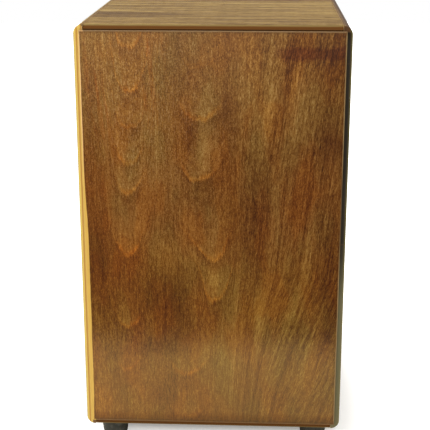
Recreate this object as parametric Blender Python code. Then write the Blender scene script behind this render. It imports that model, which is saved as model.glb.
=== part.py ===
"""Snare cajon: a plywood box drum, 300 x 300 x 500 mm, standing on four rubber feet.

Frame: origin on the floor under the middle of the box, +Z up, the playing face
(tapa) towards -Y, +X to the right of somebody facing the playing face. Metres.

The case is a glued plywood box: two full-height side panels with the seat and
the base between them. The tapa is glued over the front edges. The back is a
screwed panel with the sound hole. Inside, two strands of snare wire stand on
a bar that pivots between two blocks, so that they lean on the tapa or come off
it; a pinch clamp in the right-hand block holds the bar where it is put.
"""

import math

import bmesh
import bpy
from mathutils import Euler, Matrix, Vector

# ---------------------------------------------------------------- shared dimensions
MM = 0.001
GAP = 0.3 * MM  # glue line or running clearance between neighbouring pieces
BORE_PAST = 0.6 * MM  # how far a screw's bore runs past its tip
BORE_LEAD = 1 * MM  # how far a bore's cutter stands out of the face it enters
SMOOTH_ANGLE_DEG = 32  # edges sharper than this are shaded sharp

WIDTH = 300 * MM
DEPTH = 300 * MM
BODY_H = 475 * MM
FOOT_H = 25 * MM
TOP = FOOT_H + BODY_H

SIDE_T = 10 * MM
SEAT_T = 12 * MM
BASE_T = 12 * MM
REAR_T = 6 * MM
TAPA_T = 3 * MM

FRONT = -DEPTH / 2  # face of the tapa
CASE_FRONT = FRONT + TAPA_T + GAP
CASE_REAR = DEPTH / 2
OUTER_X = WIDTH / 2
INNER_X = OUTER_X - SIDE_T  # inner face of a side panel
FITTED_X = INNER_X - GAP  # outer end of whatever fits between the side panels
SEAT_UNDER = TOP - SEAT_T
BASE_OVER = FOOT_H + BASE_T
FITTED_TOP = SEAT_UNDER - GAP  # top and bottom of whatever fits between seat and base
FITTED_LOW = BASE_OVER + GAP

REAR_FACE = CASE_REAR - 3.5 * MM  # outer face of the rear panel
REAR_INNER = REAR_FACE - REAR_T

BAR_Y = -125 * MM  # axis of the snare bar
BAR_Z = 365 * MM
PIN_R = 4 * MM  # pins that carry the bar

SIDES = (("left", -1), ("right", 1))

for old in list(bpy.data.objects):
    bpy.data.objects.remove(old, do_unlink=True)


# ---------------------------------------------------------------- materials
def material(name, srgb, roughness, metallic=0.0):
    """A Principled material from an 8-bit sRGB colour."""
    mat = bpy.data.materials.new(name)
    mat.use_nodes = True
    shader = mat.node_tree.nodes["Principled BSDF"]
    linear = [
        c / 12.92 if c <= 0.04045 else ((c + 0.055) / 1.055) ** 2.4
        for c in (value / 255 for value in srgb)
    ]
    shader.inputs["Base Color"].default_value = (*linear, 1.0)
    shader.inputs["Roughness"].default_value = roughness
    shader.inputs["Metallic"].default_value = metallic
    mat.diffuse_color = (*linear, 1.0)
    return mat


WALNUT = material("walnut_veneer", srgb=(122, 78, 38), roughness=0.38)
OAK = material("oak_veneer", srgb=(158, 130, 87), roughness=0.45)
PLY = material("pale_plywood", srgb=(214, 180, 112), roughness=0.55)
BIRCH = material("birch_back", srgb=(190, 158, 108), roughness=0.55)
BEECH = material("beech", srgb=(196, 156, 110), roughness=0.6)
RUBBER = material("black_rubber", srgb=(44, 44, 42), roughness=0.75)
ZINC = material("zinc_steel", srgb=(168, 168, 165), roughness=0.35, metallic=1.0)
BLACK_STEEL = material("black_steel", srgb=(40, 40, 42), roughness=0.4, metallic=0.9)
SPRING = material("spring_steel", srgb=(190, 190, 188), roughness=0.25, metallic=1.0)
NYLON = material("black_nylon", srgb=(30, 30, 32), roughness=0.5)


# ---------------------------------------------------------------- helpers
def put(name, mesh, mat, location=(0, 0, 0), rotation=(0, 0, 0), parent=None):
    """Turns the bmesh's normals outwards and links it as an object."""
    bmesh.ops.recalc_face_normals(mesh, faces=mesh.faces)
    data = bpy.data.meshes.new(name)
    mesh.to_mesh(data)
    mesh.free()
    data.materials.append(mat)
    data.shade_smooth()
    data.set_sharp_from_angle(angle=math.radians(SMOOTH_ANGLE_DEG))
    obj = bpy.data.objects.new(name, data)
    bpy.context.scene.collection.objects.link(obj)
    obj.parent = parent
    obj.location = location
    obj.rotation_euler = Euler(rotation)
    return obj


def block_mesh(size):
    mesh = bmesh.new()
    bmesh.ops.create_cube(mesh, size=1.0)
    bmesh.ops.scale(mesh, vec=Vector(size), verts=mesh.verts)
    return mesh


def ease(mesh, offset, segments, wanted):
    """Rounds the edges whose midpoint and direction satisfy wanted(mid, along)."""
    edges = []
    for edge in mesh.edges:
        start, end = (vert.co for vert in edge.verts)
        if wanted((start + end) / 2, (end - start).normalized()):
            edges.append(edge)
    bmesh.ops.bevel(
        mesh,
        geom=edges,
        offset=offset,
        segments=segments,
        profile=0.5,
        affect="EDGES",
        clamp_overlap=True,
    )


def block(name, low, high, mat, eased=0.0, parent=None):
    """A box between two corners, its origin at its middle, with eased edges."""
    low, high = Vector(low), Vector(high)
    mesh = block_mesh(high - low)
    if eased:
        ease(mesh, eased, 2, lambda mid, along: True)
    return put(name, mesh, mat, (low + high) / 2, parent=parent)


def extrude(mesh, faces, shift):
    """Thickens flat faces into a solid by a shift."""
    grown = bmesh.ops.extrude_face_region(mesh, geom=faces)
    verts = [item for item in grown["geom"] if isinstance(item, bmesh.types.BMVert)]
    bmesh.ops.translate(mesh, vec=shift, verts=verts)


def prism(outline, shift):
    """A solid from a flat outline of points and the shift to its other end."""
    mesh = bmesh.new()
    face = mesh.faces.new([mesh.verts.new(point) for point in outline])
    extrude(mesh, [face], shift)
    return mesh


def turned(profile, steps=16):
    """A solid turned about Z; a profile of (radius, height) off the axis is closed."""
    mesh = bmesh.new()
    verts = [mesh.verts.new((radius, 0, z)) for radius, z in profile]
    edges = [mesh.edges.new(pair) for pair in zip(verts, verts[1:])]
    if profile[0][0] > 0 or profile[-1][0] > 0:
        edges.append(mesh.edges.new((verts[-1], verts[0])))
    bmesh.ops.spin(
        mesh,
        geom=verts + edges,
        axis=(0, 0, 1),
        cent=(0, 0, 0),
        angle=2 * math.pi,
        steps=steps,
        use_merge=True,
    )
    bmesh.ops.remove_doubles(mesh, verts=mesh.verts, dist=1e-6)
    return mesh


def pan_screw(head_r, head_h, shank_r, length, steps=12):
    """A pan-head screw along Z: head up, the underside of the head at z = 0."""
    profile = [
        (0, head_h),
        (head_r * 0.55, head_h),
        (head_r * 0.92, head_h * 0.6),
        (head_r, 0),
        (shank_r, 0),
        (shank_r, -length * 0.82),
        (0, -length),
    ]
    return turned(profile, steps)


def washer(name, inner_r, outer_r, thickness, location):
    """A flat washer with its origin on its underside."""
    profile = [(inner_r, thickness), (outer_r, thickness), (outer_r, 0), (inner_r, 0)]
    put(name, turned(profile, 16), ZINC, location)


def as_cutter(obj):
    obj.hide_render = True
    obj.display_type = "WIRE"
    return obj


def cylinders(name, items, steps=16, parent=None):
    """A hidden cutter of separate cylinders, each (centre, axis, radius, length)."""
    mesh = bmesh.new()
    for centre, axis, radius, length in items:
        turn = Vector((0, 0, 1)).rotation_difference(Vector(axis)).to_matrix().to_4x4()
        bmesh.ops.create_cone(
            mesh,
            cap_ends=True,
            segments=steps,
            radius1=radius,
            radius2=radius,
            depth=length,
            matrix=Matrix.Translation(centre) @ turn,
        )
    return as_cutter(put(name, mesh, PLY, parent=parent))


def combine(obj, name, operation, other):
    modifier = obj.modifiers.new(name, "BOOLEAN")
    modifier.operation = operation
    modifier.solver = "EXACT"
    modifier.object = other


def cut(obj, cutter):
    combine(obj, "Cut_" + cutter.name, "DIFFERENCE", cutter)


def arc(centre_x, centre_z, radius, start_deg, end_deg, steps):
    """Points along an arc in the XZ plane, both ends included."""
    points = []
    for i in range(steps + 1):
        angle = math.radians(start_deg + (end_deg - start_deg) * i / steps)
        points.append(
            (centre_x + radius * math.cos(angle), centre_z + radius * math.sin(angle))
        )
    return points


# ---------------------------------------------------------------- the case
CORNER_R = 10 * MM  # round of the long edges, front to back
CORNER_STEPS = 8
RIM_R = 5.7 * MM  # round of the front and rear rims
RIM_STEPS = 5
TAPA_INSET = 6 * MM  # border of the case left showing all round the tapa
TAPA_EASE = 1.5 * MM


def side_panel(name, side):
    """A full-height side; its outer corners and both rims are rounded."""
    round_x = OUTER_X - CORNER_R
    outline = [(INNER_X, TOP), (INNER_X, FOOT_H)]
    outline += arc(round_x, FOOT_H + CORNER_R, CORNER_R, -90, 0, CORNER_STEPS)[1:]
    outline += arc(round_x, TOP - CORNER_R, CORNER_R, 0, 90, CORNER_STEPS)[:-1]
    origin = Vector((side * (INNER_X + OUTER_X) / 2, (CASE_FRONT + CASE_REAR) / 2, TOP / 2))
    mesh = prism(
        [Vector((side * x, CASE_FRONT, z)) - origin for x, z in outline],
        (0, CASE_REAR - CASE_FRONT, 0),
    )
    bmesh.ops.recalc_face_normals(mesh, faces=mesh.faces)
    inner = side * INNER_X - origin.x
    ease(
        mesh,
        RIM_R,
        RIM_STEPS,
        lambda mid, along: abs(along.y) < 0.01 and abs(mid.x - inner) > 1e-5,
    )
    put(name, mesh, PLY, origin)


def between_panel(name, low_z, high_z, mat, outward):
    """The seat (outward +1) or base (-1), its outer front and rear edges rounded."""
    low = Vector((-FITTED_X, CASE_FRONT, low_z))
    high = Vector((FITTED_X, CASE_REAR, high_z))
    size = high - low
    mesh = block_mesh(size)
    ease(
        mesh,
        RIM_R,
        RIM_STEPS,
        lambda mid, along: abs(along.x) > 0.99 and outward * mid.z > size.z * 0.4,
    )
    return put(name, mesh, mat, (low + high) / 2)


def tapa():
    """The playing face, glued over the front edges of the case."""
    mesh = block_mesh((WIDTH - 2 * TAPA_INSET, TAPA_T, BODY_H - 2 * TAPA_INSET))
    ease(
        mesh,
        TAPA_EASE,
        3,
        lambda mid, along: abs(along.y) < 0.01 and mid.y < -TAPA_T * 0.4,
    )
    put("tapa", mesh, WALNUT, (0, FRONT + TAPA_T / 2, FOOT_H + BODY_H / 2))


for word, side in SIDES:
    side_panel(f"{word}_side_panel", side)
between_panel("seat_panel", SEAT_UNDER, TOP, OAK, outward=1)
base = between_panel("base_panel", FOOT_H, BASE_OVER, PLY, outward=-1)
tapa()

# ---------------------------------------------------------------- rear panel
HOLE_R = 57.5 * MM
HOLE_Z = 215 * MM


def rear_panel():
    """The back, set in between the side panels, with its eased sound hole."""
    panel = block(
        "rear_panel",
        (-FITTED_X, REAR_INNER, FITTED_LOW),
        (FITTED_X, REAR_FACE, FITTED_TOP),
        BIRCH,
    )
    # (radius, height) from outside the panel to inside it; the outer lip is eased
    overshoot = REAR_T / 2 + 2 * MM
    profile = [
        (0, overshoot),
        (HOLE_R + 3.5 * MM, overshoot),
        (HOLE_R + 1.5 * MM, REAR_T / 2),
        (HOLE_R + 0.45 * MM, REAR_T / 2 - 0.5 * MM),
        (HOLE_R, REAR_T / 2 - 1.5 * MM),
        (HOLE_R, -overshoot),
        (0, -overshoot),
    ]
    hole = put(
        "sound_hole_cutter",
        turned(profile, 48),
        BIRCH,
        (0, (REAR_INNER + REAR_FACE) / 2, HOLE_Z),
        (-math.pi / 2, 0, 0),
    )
    cut(panel, as_cutter(hole))
    return panel


rear = rear_panel()

# ---------------------------------------------------------------- cleats and battens
STICK = 14 * MM  # square section of battens and cleats
STICK_EASE = 0.8 * MM
BATTEN_SETBACK = 8 * MM  # front end of a batten behind the front of the case

CLEAT_REAR = REAR_INNER - GAP
CLEAT_FRONT = CLEAT_REAR - STICK
CROSS_CLEAT_X = FITTED_X - GAP - STICK  # end of the top and bottom cleats
UPPER_STICK = (FITTED_TOP - STICK, FITTED_TOP)  # z range under the seat
LOWER_STICK = (FITTED_LOW, FITTED_LOW + STICK)  # z range on the base


def stick(name, x_range, y_range, z_range):
    low, high = zip(x_range, y_range, z_range)
    return block(name, low, high, BEECH, STICK_EASE)


# Cleats run round behind the rear panel, battens along the four long inside corners.
cleat_y = (CLEAT_FRONT, CLEAT_REAR)
batten_y = (CASE_FRONT + BATTEN_SETBACK, CLEAT_FRONT - GAP)
cross_x = (-CROSS_CLEAT_X, CROSS_CLEAT_X)
cleats = []
for word, side in SIDES:
    stick_x = sorted((side * FITTED_X, side * (FITTED_X - STICK)))
    cleats.append(stick(f"rear_cleat_{word}", stick_x, cleat_y, (FITTED_LOW, FITTED_TOP)))
    stick(f"corner_batten_upper_{word}", stick_x, batten_y, UPPER_STICK)
    stick(f"corner_batten_lower_{word}", stick_x, batten_y, LOWER_STICK)
cleats.append(stick("rear_cleat_top", cross_x, cleat_y, UPPER_STICK))
cleats.append(stick("rear_cleat_bottom", cross_x, cleat_y, LOWER_STICK))

# ---------------------------------------------------------------- rear screws
REAR_SCREW_R = 2.0 * MM
REAR_SCREW_L = 17 * MM
REAR_SCREW_HEAD_R = 4.0 * MM
REAR_SCREW_HEAD_H = 2.4 * MM
REAR_SCREW_INSET = 12 * MM  # side screws in from the middles of the end cleats

SCREW_X = FITTED_X - STICK / 2
SCREW_TOP_Z = FITTED_TOP - STICK / 2
SCREW_LOW_Z = FITTED_LOW + STICK / 2


def rear_screws():
    """Screws through the rear panel into the cleats, and their bores."""
    spots = {}
    for word, side in SIDES:
        spots[f"upper_{word}"] = (side * SCREW_X, SCREW_TOP_Z - REAR_SCREW_INSET)
        spots[f"middle_{word}"] = (side * SCREW_X, (SCREW_TOP_Z + SCREW_LOW_Z) / 2)
        spots[f"lower_{word}"] = (side * SCREW_X, SCREW_LOW_Z + REAR_SCREW_INSET)
    spots["top"] = (0.0, SCREW_TOP_Z)
    spots["bottom"] = (0.0, SCREW_LOW_Z)
    head_y = REAR_FACE + GAP
    for word, (x, z) in spots.items():
        put(
            f"rear_screw_{word}",
            pan_screw(REAR_SCREW_HEAD_R, REAR_SCREW_HEAD_H, REAR_SCREW_R, REAR_SCREW_L),
            BLACK_STEEL,
            (x, head_y, z),
            (-math.pi / 2, 0, 0),
        )
    bore_rear = REAR_FACE + BORE_LEAD
    bore_front = head_y - REAR_SCREW_L - BORE_PAST
    middle_y, length = (bore_rear + bore_front) / 2, bore_rear - bore_front
    bores = cylinders(
        "rear_screw_bores",
        [
            (Vector((x, middle_y, z)), (0, 1, 0), REAR_SCREW_R + GAP, length)
            for x, z in spots.values()
        ],
        12,
    )
    for piece in (rear, *cleats):
        cut(piece, bores)


rear_screws()

# ---------------------------------------------------------------- feet
FOOT_XY = 120 * MM
FOOT_R = 16 * MM
FOOT_FLAT_R = 11 * MM  # flat that stands on the floor
FOOT_ROUND_H = 9 * MM  # height of the rounded lower edge
FOOT_ROUND_W = FOOT_R - 0.9 * MM - FOOT_FLAT_R
FOOT_EASE = 0.8 * MM
RECESS_R = 8 * MM
RECESS_H = 12 * MM
FOOT_SCREW_R = 2.0 * MM
FOOT_BORE_R = FOOT_SCREW_R + 0.5 * MM
FOOT_SCREW_TOP = BASE_OVER - 2.5 * MM
FOOT_WASHER_R = 7 * MM
FOOT_WASHER_T = 1.2 * MM
FOOT_WASHER_Z = RECESS_H - GAP - FOOT_WASHER_T
FOOT_HEAD_Z = FOOT_WASHER_Z - GAP  # where the screw's head bears


def foot_profile():
    """(radius, height) from the top, down the outside and up into the recess."""
    top = FOOT_H - GAP
    profile = [
        (FOOT_BORE_R, top),
        (FOOT_R - FOOT_EASE, top),
        (FOOT_R, top - FOOT_EASE),
        (FOOT_R - 0.4 * MM, FOOT_H * 0.52),
    ]
    for degrees in (0, 22.5, 45, 67.5, 90):
        angle = math.radians(degrees)
        profile.append(
            (
                FOOT_FLAT_R + FOOT_ROUND_W * math.cos(angle),
                FOOT_ROUND_H - FOOT_ROUND_H * math.sin(angle),
            )
        )
    return profile + [(RECESS_R, 0.0), (RECESS_R, RECESS_H), (FOOT_BORE_R, RECESS_H)]


def foot(word, x, y):
    """A rubber foot, held by a screw and washer up its recess."""
    put(f"foot_{word}", turned(foot_profile(), 24), RUBBER, (x, y, 0))
    washer(
        f"foot_washer_{word}",
        FOOT_SCREW_R + GAP,
        FOOT_WASHER_R,
        FOOT_WASHER_T,
        (x, y, FOOT_WASHER_Z),
    )
    put(
        f"foot_screw_{word}",
        pan_screw(4.2 * MM, 2.6 * MM, FOOT_SCREW_R, FOOT_SCREW_TOP - FOOT_HEAD_Z),
        ZINC,
        (x, y, FOOT_HEAD_Z),
        (math.pi, 0, 0),
    )


foot_bores = []
bore_low, bore_high = FOOT_H - BORE_LEAD, FOOT_SCREW_TOP + BORE_PAST
for row, y in (("front", -FOOT_XY), ("rear", FOOT_XY)):
    for word, side in SIDES:
        x = side * FOOT_XY
        foot(f"{row}_{word}", x, y)
        centre = Vector((x, y, (bore_low + bore_high) / 2))
        foot_bores.append((centre, (0, 0, 1), FOOT_SCREW_R + GAP, bore_high - bore_low))
cut(base, cylinders("foot_screw_bores", foot_bores, 12))

# ---------------------------------------------------------------- snare bar
# Everything on the bar is laid out upright in the bar's own frame, strands along
# +Z and the planed face towards -Y, then leant forward by turning the empty.
BAR_R = 10 * MM
BAR_FLAT = 8 * MM  # distance from the axis to the planed front of the bar
BAR_END = 120.5 * MM
PIN_IN, PIN_OUT = 101.5 * MM, 137.5 * MM
PIN_EASE = 0.6 * MM

STRAND_X = 62 * MM
STRAND_W = 42 * MM
STRAND_TOP = 104 * MM
STRAND_T = 1.2 * MM
WIRES = 10
WIRE_W = 2.0 * MM
PLATE_LOW, PLATE_HIGH = -5 * MM, 9 * MM  # z range of a strand's lower end plate
TOP_PLATE_H = 6 * MM

CLAMP_W = 56 * MM
CLAMP_H = 9 * MM
CLAMP_T = 1.5 * MM
CLAMP_REAR = -(BAR_FLAT + 2 * GAP + STRAND_T)
CLAMP_FRONT = CLAMP_REAR - CLAMP_T
CLAMP_HEAD_Y = CLAMP_FRONT - GAP  # where the clamp screws' heads bear
CLAMP_SCREW_X = 24.5 * MM  # from the middle of the clamp
CLAMP_SCREW_R = 1.5 * MM
CLAMP_SCREW_L = 11 * MM

LEVER_TILT = math.radians(25)  # back from straight down
LEVER_AXIS = Vector((0, math.sin(LEVER_TILT), -math.cos(LEVER_TILT)))
LEVER_R = 3 * MM
LEVER_IN, LEVER_OUT = 2 * MM, 62 * MM  # ends of the rod, from the bar's axis
LEVER_EASE = 0.5 * MM
GRIP_R = 7.5 * MM
GRIP_IN, GRIP_OUT = LEVER_OUT - 16 * MM, LEVER_OUT + 9 * MM


def bar_lean():
    """Angle that brings the strands' top front edge just behind the tapa."""
    reach = BAR_Y - (FRONT + TAPA_T + 1.3 * GAP)
    strand_front = BAR_FLAT + GAP + STRAND_T
    edge_distance = math.hypot(STRAND_TOP, strand_front)
    return math.atan2(STRAND_TOP, strand_front) - math.acos(reach / edge_distance)


pivot = bpy.data.objects.new("snare_pivot", None)
pivot.empty_display_size = 0.03
bpy.context.scene.collection.objects.link(pivot)
pivot.location = (0, BAR_Y, BAR_Z)
pivot.rotation_euler = Euler((bar_lean(), 0, 0))


def snare_bar():
    """A dowel with a planed front."""
    flat_deg = math.degrees(math.acos(BAR_FLAT / BAR_R))
    outline = []
    for i in range(21):
        angle = math.radians(flat_deg + (360 - 2 * flat_deg) * i / 20)
        outline.append((-BAR_END, -BAR_R * math.cos(angle), BAR_R * math.sin(angle)))
    return put("snare_bar", prism(outline, (2 * BAR_END, 0, 0)), BEECH, parent=pivot)


def snare_bar_bores(clamp_spots):
    """Bores for the pins, the lever and the clamp screws."""
    items = [
        (Vector((side * (BAR_END - 5 * MM), 0, 0)), (1, 0, 0), PIN_R + GAP, 40 * MM)
        for _, side in SIDES
    ]
    items.append((LEVER_AXIS * 11 * MM, LEVER_AXIS, LEVER_R + GAP, 20 * MM))
    length = CLAMP_SCREW_L + BORE_PAST
    for x in clamp_spots.values():
        centre = Vector((x, CLAMP_HEAD_Y + length / 2, 0))
        items.append((centre, (0, 1, 0), CLAMP_SCREW_R + GAP, length))
    return cylinders("snare_bar_bores", items, 16, parent=pivot)


def snare_pin(word, side):
    """A steel pin along X in one end of the bar."""
    half = (PIN_OUT - PIN_IN) / 2
    profile = [
        (0, half),
        (PIN_R - PIN_EASE, half),
        (PIN_R, half - PIN_EASE),
        (PIN_R, -half + PIN_EASE),
        (PIN_R - PIN_EASE, -half),
        (0, -half),
    ]
    location = (side * (PIN_IN + PIN_OUT) / 2, 0, 0)
    put(f"snare_pin_{word}", turned(profile, 16), ZINC, location, (0, math.pi / 2, 0), pivot)


def strand_mesh():
    """A strand of snare wires between its two end plates, as one flat ladder."""
    pitch = (STRAND_W - WIRE_W) / (WIRES - 1)
    columns = []
    for i in range(WIRES):
        left = -STRAND_W / 2 + i * pitch
        columns += [left, left + WIRE_W]
    levels = [PLATE_LOW, PLATE_HIGH, STRAND_TOP - TOP_PLATE_H, STRAND_TOP]
    mesh = bmesh.new()
    grid = [[mesh.verts.new((x, -STRAND_T / 2, z)) for z in levels] for x in columns]
    for i in range(len(columns) - 1):
        for j in range(len(levels) - 1):
            if j == 1 and i % 2 == 1:
                continue  # open space between two wires
            mesh.faces.new((grid[i][j], grid[i + 1][j], grid[i + 1][j + 1], grid[i][j + 1]))
    extrude(mesh, list(mesh.faces), (0, STRAND_T, 0))
    return mesh


def strand_and_clamp(word, side, bores):
    """A strand against the planed face, under its clamp plate."""
    x = side * STRAND_X
    strand_y = -(BAR_FLAT + GAP + STRAND_T / 2)
    put(f"snare_strand_{word}", strand_mesh(), SPRING, (x, strand_y, 0), parent=pivot)
    clamp = block(
        f"strand_clamp_{word}",
        (x - CLAMP_W / 2, CLAMP_FRONT, -CLAMP_H / 2),
        (x + CLAMP_W / 2, CLAMP_REAR, CLAMP_H / 2),
        ZINC,
        parent=pivot,
    )
    cut(clamp, bores)


def snare_lever():
    """The lever, a steel rod let into the bar, and its grip."""
    turn = Vector((0, 0, 1)).rotation_difference(LEVER_AXIS).to_euler()
    rod = [
        (0, LEVER_OUT),
        (LEVER_R - LEVER_EASE, LEVER_OUT),
        (LEVER_R, LEVER_OUT - LEVER_EASE),
        (LEVER_R, LEVER_IN),
        (0, LEVER_IN),
    ]
    put("snare_lever", turned(rod, 14), ZINC, rotation=turn, parent=pivot)
    grip = [(0, GRIP_OUT)]
    for degrees in (66, 44, 22, 0):
        angle = math.radians(degrees)
        grip.append(
            (GRIP_R * math.cos(angle) ** 0.8, GRIP_OUT - GRIP_R + GRIP_R * math.sin(angle))
        )
    grip += [
        (GRIP_R * 0.9, GRIP_IN + 3 * MM),
        (GRIP_R * 0.75, GRIP_IN),
        (LEVER_R + GAP, GRIP_IN),
        (LEVER_R + GAP, LEVER_OUT + GAP),
        (0, LEVER_OUT + GAP),
    ]
    put("lever_grip", turned(grip, 16), NYLON, rotation=turn, parent=pivot)


clamp_spots = {}
for word, side in SIDES:
    clamp_spots[f"{word}_outer"] = side * (STRAND_X + CLAMP_SCREW_X)
    clamp_spots[f"{word}_inner"] = side * (STRAND_X - CLAMP_SCREW_X)

bar = snare_bar()
bar_bores = snare_bar_bores(clamp_spots)
cut(bar, bar_bores)
for word, side in SIDES:
    snare_pin(word, side)
    strand_and_clamp(word, side, bar_bores)
for word, x in clamp_spots.items():
    put(
        f"strand_screw_{word}",
        pan_screw(3.2 * MM, 1.8 * MM, CLAMP_SCREW_R, CLAMP_SCREW_L, 10),
        BLACK_STEEL,
        (x, CLAMP_HEAD_Y, 0),
        (math.pi / 2, 0, 0),
        pivot,
    )
snare_lever()

# ---------------------------------------------------------------- pivot blocks
BLOCK_IN = 121.7 * MM  # inner face of a block
BLOCK_H = 32 * MM
BLOCK_FRONT = BAR_Y - 16 * MM
LEFT_BLOCK_REAR = BAR_Y + 16 * MM
RIGHT_BLOCK_REAR = BAR_Y + 40 * MM  # longer, to take the pinch clamp
BLOCK_LOW, BLOCK_TOP = BAR_Z - BLOCK_H / 2, BAR_Z + BLOCK_H / 2
BLOCK_EASE = 1 * MM

left_block = block(
    "pivot_block_left",
    (-FITTED_X, BLOCK_FRONT, BLOCK_LOW),
    (-BLOCK_IN, LEFT_BLOCK_REAR, BLOCK_TOP),
    BEECH,
    BLOCK_EASE,
)
right_block = block(
    "pivot_block_right",
    (BLOCK_IN, BLOCK_FRONT, BLOCK_LOW),
    (FITTED_X, RIGHT_BLOCK_REAR, BLOCK_TOP),
    BEECH,
    BLOCK_EASE,
)
pin_bores = cylinders(
    "pivot_block_bores",
    [
        (Vector((side * (BLOCK_IN + 8 * MM), BAR_Y, BAR_Z)), (1, 0, 0), PIN_R + GAP, 26 * MM)
        for _, side in SIDES
    ],
    20,
)
cut(left_block, pin_bores)
cut(right_block, pin_bores)

# ---------------------------------------------------------------- pinch clamp
# A saw slit behind the pin, closed by a thumbscrew from below and a hex nut on top.
SLIT_H = 2 * MM
SLIT_PAST = 2 * MM  # how far the slit's cutter stands out of the block
THUMB_X = (BLOCK_IN + INNER_X) / 2
THUMB_Y = -97 * MM
THUMB_R = 2.5 * MM
THUMB_EASE = 0.5 * MM
THUMB_WASHER_R = 6 * MM
THUMB_WASHER_T = 1 * MM
WASHER_Z = BLOCK_LOW - GAP - THUMB_WASHER_T
HEAD_TOP = WASHER_Z - GAP
HEAD_H = 8 * MM
HEAD_R = 7.6 * MM  # mean radius of the lobed head
LOBES = 6
LOBE_H = 0.9 * MM
LOBE_STEPS = 6
SHANK_L = BLOCK_TOP + 7 * MM - HEAD_TOP
NUT_AF, NUT_H = 8 * MM, 4 * MM  # across flats, height


def thumbscrew_head():
    """A lobed disc below z = 0, its lower rim chamfered."""
    outline = []
    for i in range(LOBES * LOBE_STEPS):
        angle = 2 * math.pi * i / (LOBES * LOBE_STEPS)
        radius = HEAD_R + LOBE_H * math.cos(LOBES * angle)
        outline.append((radius * math.cos(angle), radius * math.sin(angle), -HEAD_H))
    mesh = prism(outline, (0, 0, HEAD_H))
    bmesh.ops.recalc_face_normals(mesh, faces=mesh.faces)
    rim = [edge for face in mesh.faces if face.normal.z < -0.9 for edge in face.edges]
    bmesh.ops.bevel(
        mesh, geom=rim, offset=0.8 * MM, segments=1, profile=0.5, affect="EDGES"
    )
    return mesh


def thumbscrew():
    """The head, joined to a shank that starts inside it."""
    head = put("clamp_thumbscrew", thumbscrew_head(), NYLON, (THUMB_X, THUMB_Y, HEAD_TOP))
    profile = [
        (0, SHANK_L),
        (THUMB_R - THUMB_EASE, SHANK_L),
        (THUMB_R, SHANK_L - THUMB_EASE),
        (THUMB_R, -1 * MM),
        (0, -1 * MM),
    ]
    shank = as_cutter(put("thumbscrew_shank", turned(profile, 14), ZINC, parent=head))
    combine(head, "Shank", "UNION", shank)


def clamp_nut(bore):
    mesh = bmesh.new()
    bmesh.ops.create_cone(
        mesh,
        cap_ends=True,
        segments=6,
        radius1=NUT_AF / math.sqrt(3),
        radius2=NUT_AF / math.sqrt(3),
        depth=NUT_H,
    )
    nut = put("clamp_nut", mesh, ZINC, (THUMB_X, THUMB_Y, BLOCK_TOP + GAP + NUT_H / 2))
    cut(nut, bore)


slit = block(
    "pinch_slit_cutter",
    (BLOCK_IN - SLIT_PAST, BAR_Y + PIN_R - 0.5 * MM, BAR_Z - SLIT_H / 2),
    (INNER_X + SLIT_PAST, RIGHT_BLOCK_REAR + SLIT_PAST, BAR_Z + SLIT_H / 2),
    PLY,
)
cut(right_block, as_cutter(slit))
thumb_bore = cylinders(
    "thumbscrew_bore",
    [(Vector((THUMB_X, THUMB_Y, BAR_Z)), (0, 0, 1), THUMB_R + GAP, BLOCK_H + 14 * MM)],
    14,
)
cut(right_block, thumb_bore)
washer(
    "clamp_washer",
    THUMB_R + GAP,
    THUMB_WASHER_R,
    THUMB_WASHER_T,
    (THUMB_X, THUMB_Y, WASHER_Z),
)
thumbscrew()
clamp_nut(thumb_bore)
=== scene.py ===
import math

import bmesh
import bpy
from mathutils import Euler, Matrix, Vector


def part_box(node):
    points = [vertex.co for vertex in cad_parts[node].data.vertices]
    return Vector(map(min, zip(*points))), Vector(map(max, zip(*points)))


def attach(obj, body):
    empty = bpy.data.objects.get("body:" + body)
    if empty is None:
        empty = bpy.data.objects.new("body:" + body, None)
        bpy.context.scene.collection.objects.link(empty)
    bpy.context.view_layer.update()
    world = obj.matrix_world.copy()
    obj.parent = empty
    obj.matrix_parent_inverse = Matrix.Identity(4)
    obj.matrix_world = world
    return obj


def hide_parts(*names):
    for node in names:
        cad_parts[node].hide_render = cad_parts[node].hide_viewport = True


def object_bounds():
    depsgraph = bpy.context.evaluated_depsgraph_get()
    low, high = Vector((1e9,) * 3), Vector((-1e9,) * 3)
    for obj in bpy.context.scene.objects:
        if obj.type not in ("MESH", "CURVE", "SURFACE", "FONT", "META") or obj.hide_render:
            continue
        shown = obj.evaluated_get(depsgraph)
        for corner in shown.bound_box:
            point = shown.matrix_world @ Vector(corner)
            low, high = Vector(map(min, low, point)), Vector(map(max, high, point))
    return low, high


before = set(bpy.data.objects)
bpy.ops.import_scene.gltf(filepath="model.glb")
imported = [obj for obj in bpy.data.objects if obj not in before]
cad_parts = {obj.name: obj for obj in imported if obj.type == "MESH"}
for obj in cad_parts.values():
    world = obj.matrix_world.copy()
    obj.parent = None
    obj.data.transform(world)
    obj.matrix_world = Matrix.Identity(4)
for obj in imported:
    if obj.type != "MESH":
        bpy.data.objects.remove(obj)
cad_low, cad_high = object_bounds()
MM = 0.001
GAP = 0.3 * MM


# ------------------------------------------------------------------ node helpers
def linear(rgb):
    """sRGB 0..255 to a linear RGBA colour."""
    out = []
    for v in rgb:
        v /= 255.0
        out.append(v / 12.92 if v <= 0.04045 else ((v + 0.055) / 1.055) ** 2.4)
    return (*out, 1.0)


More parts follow.
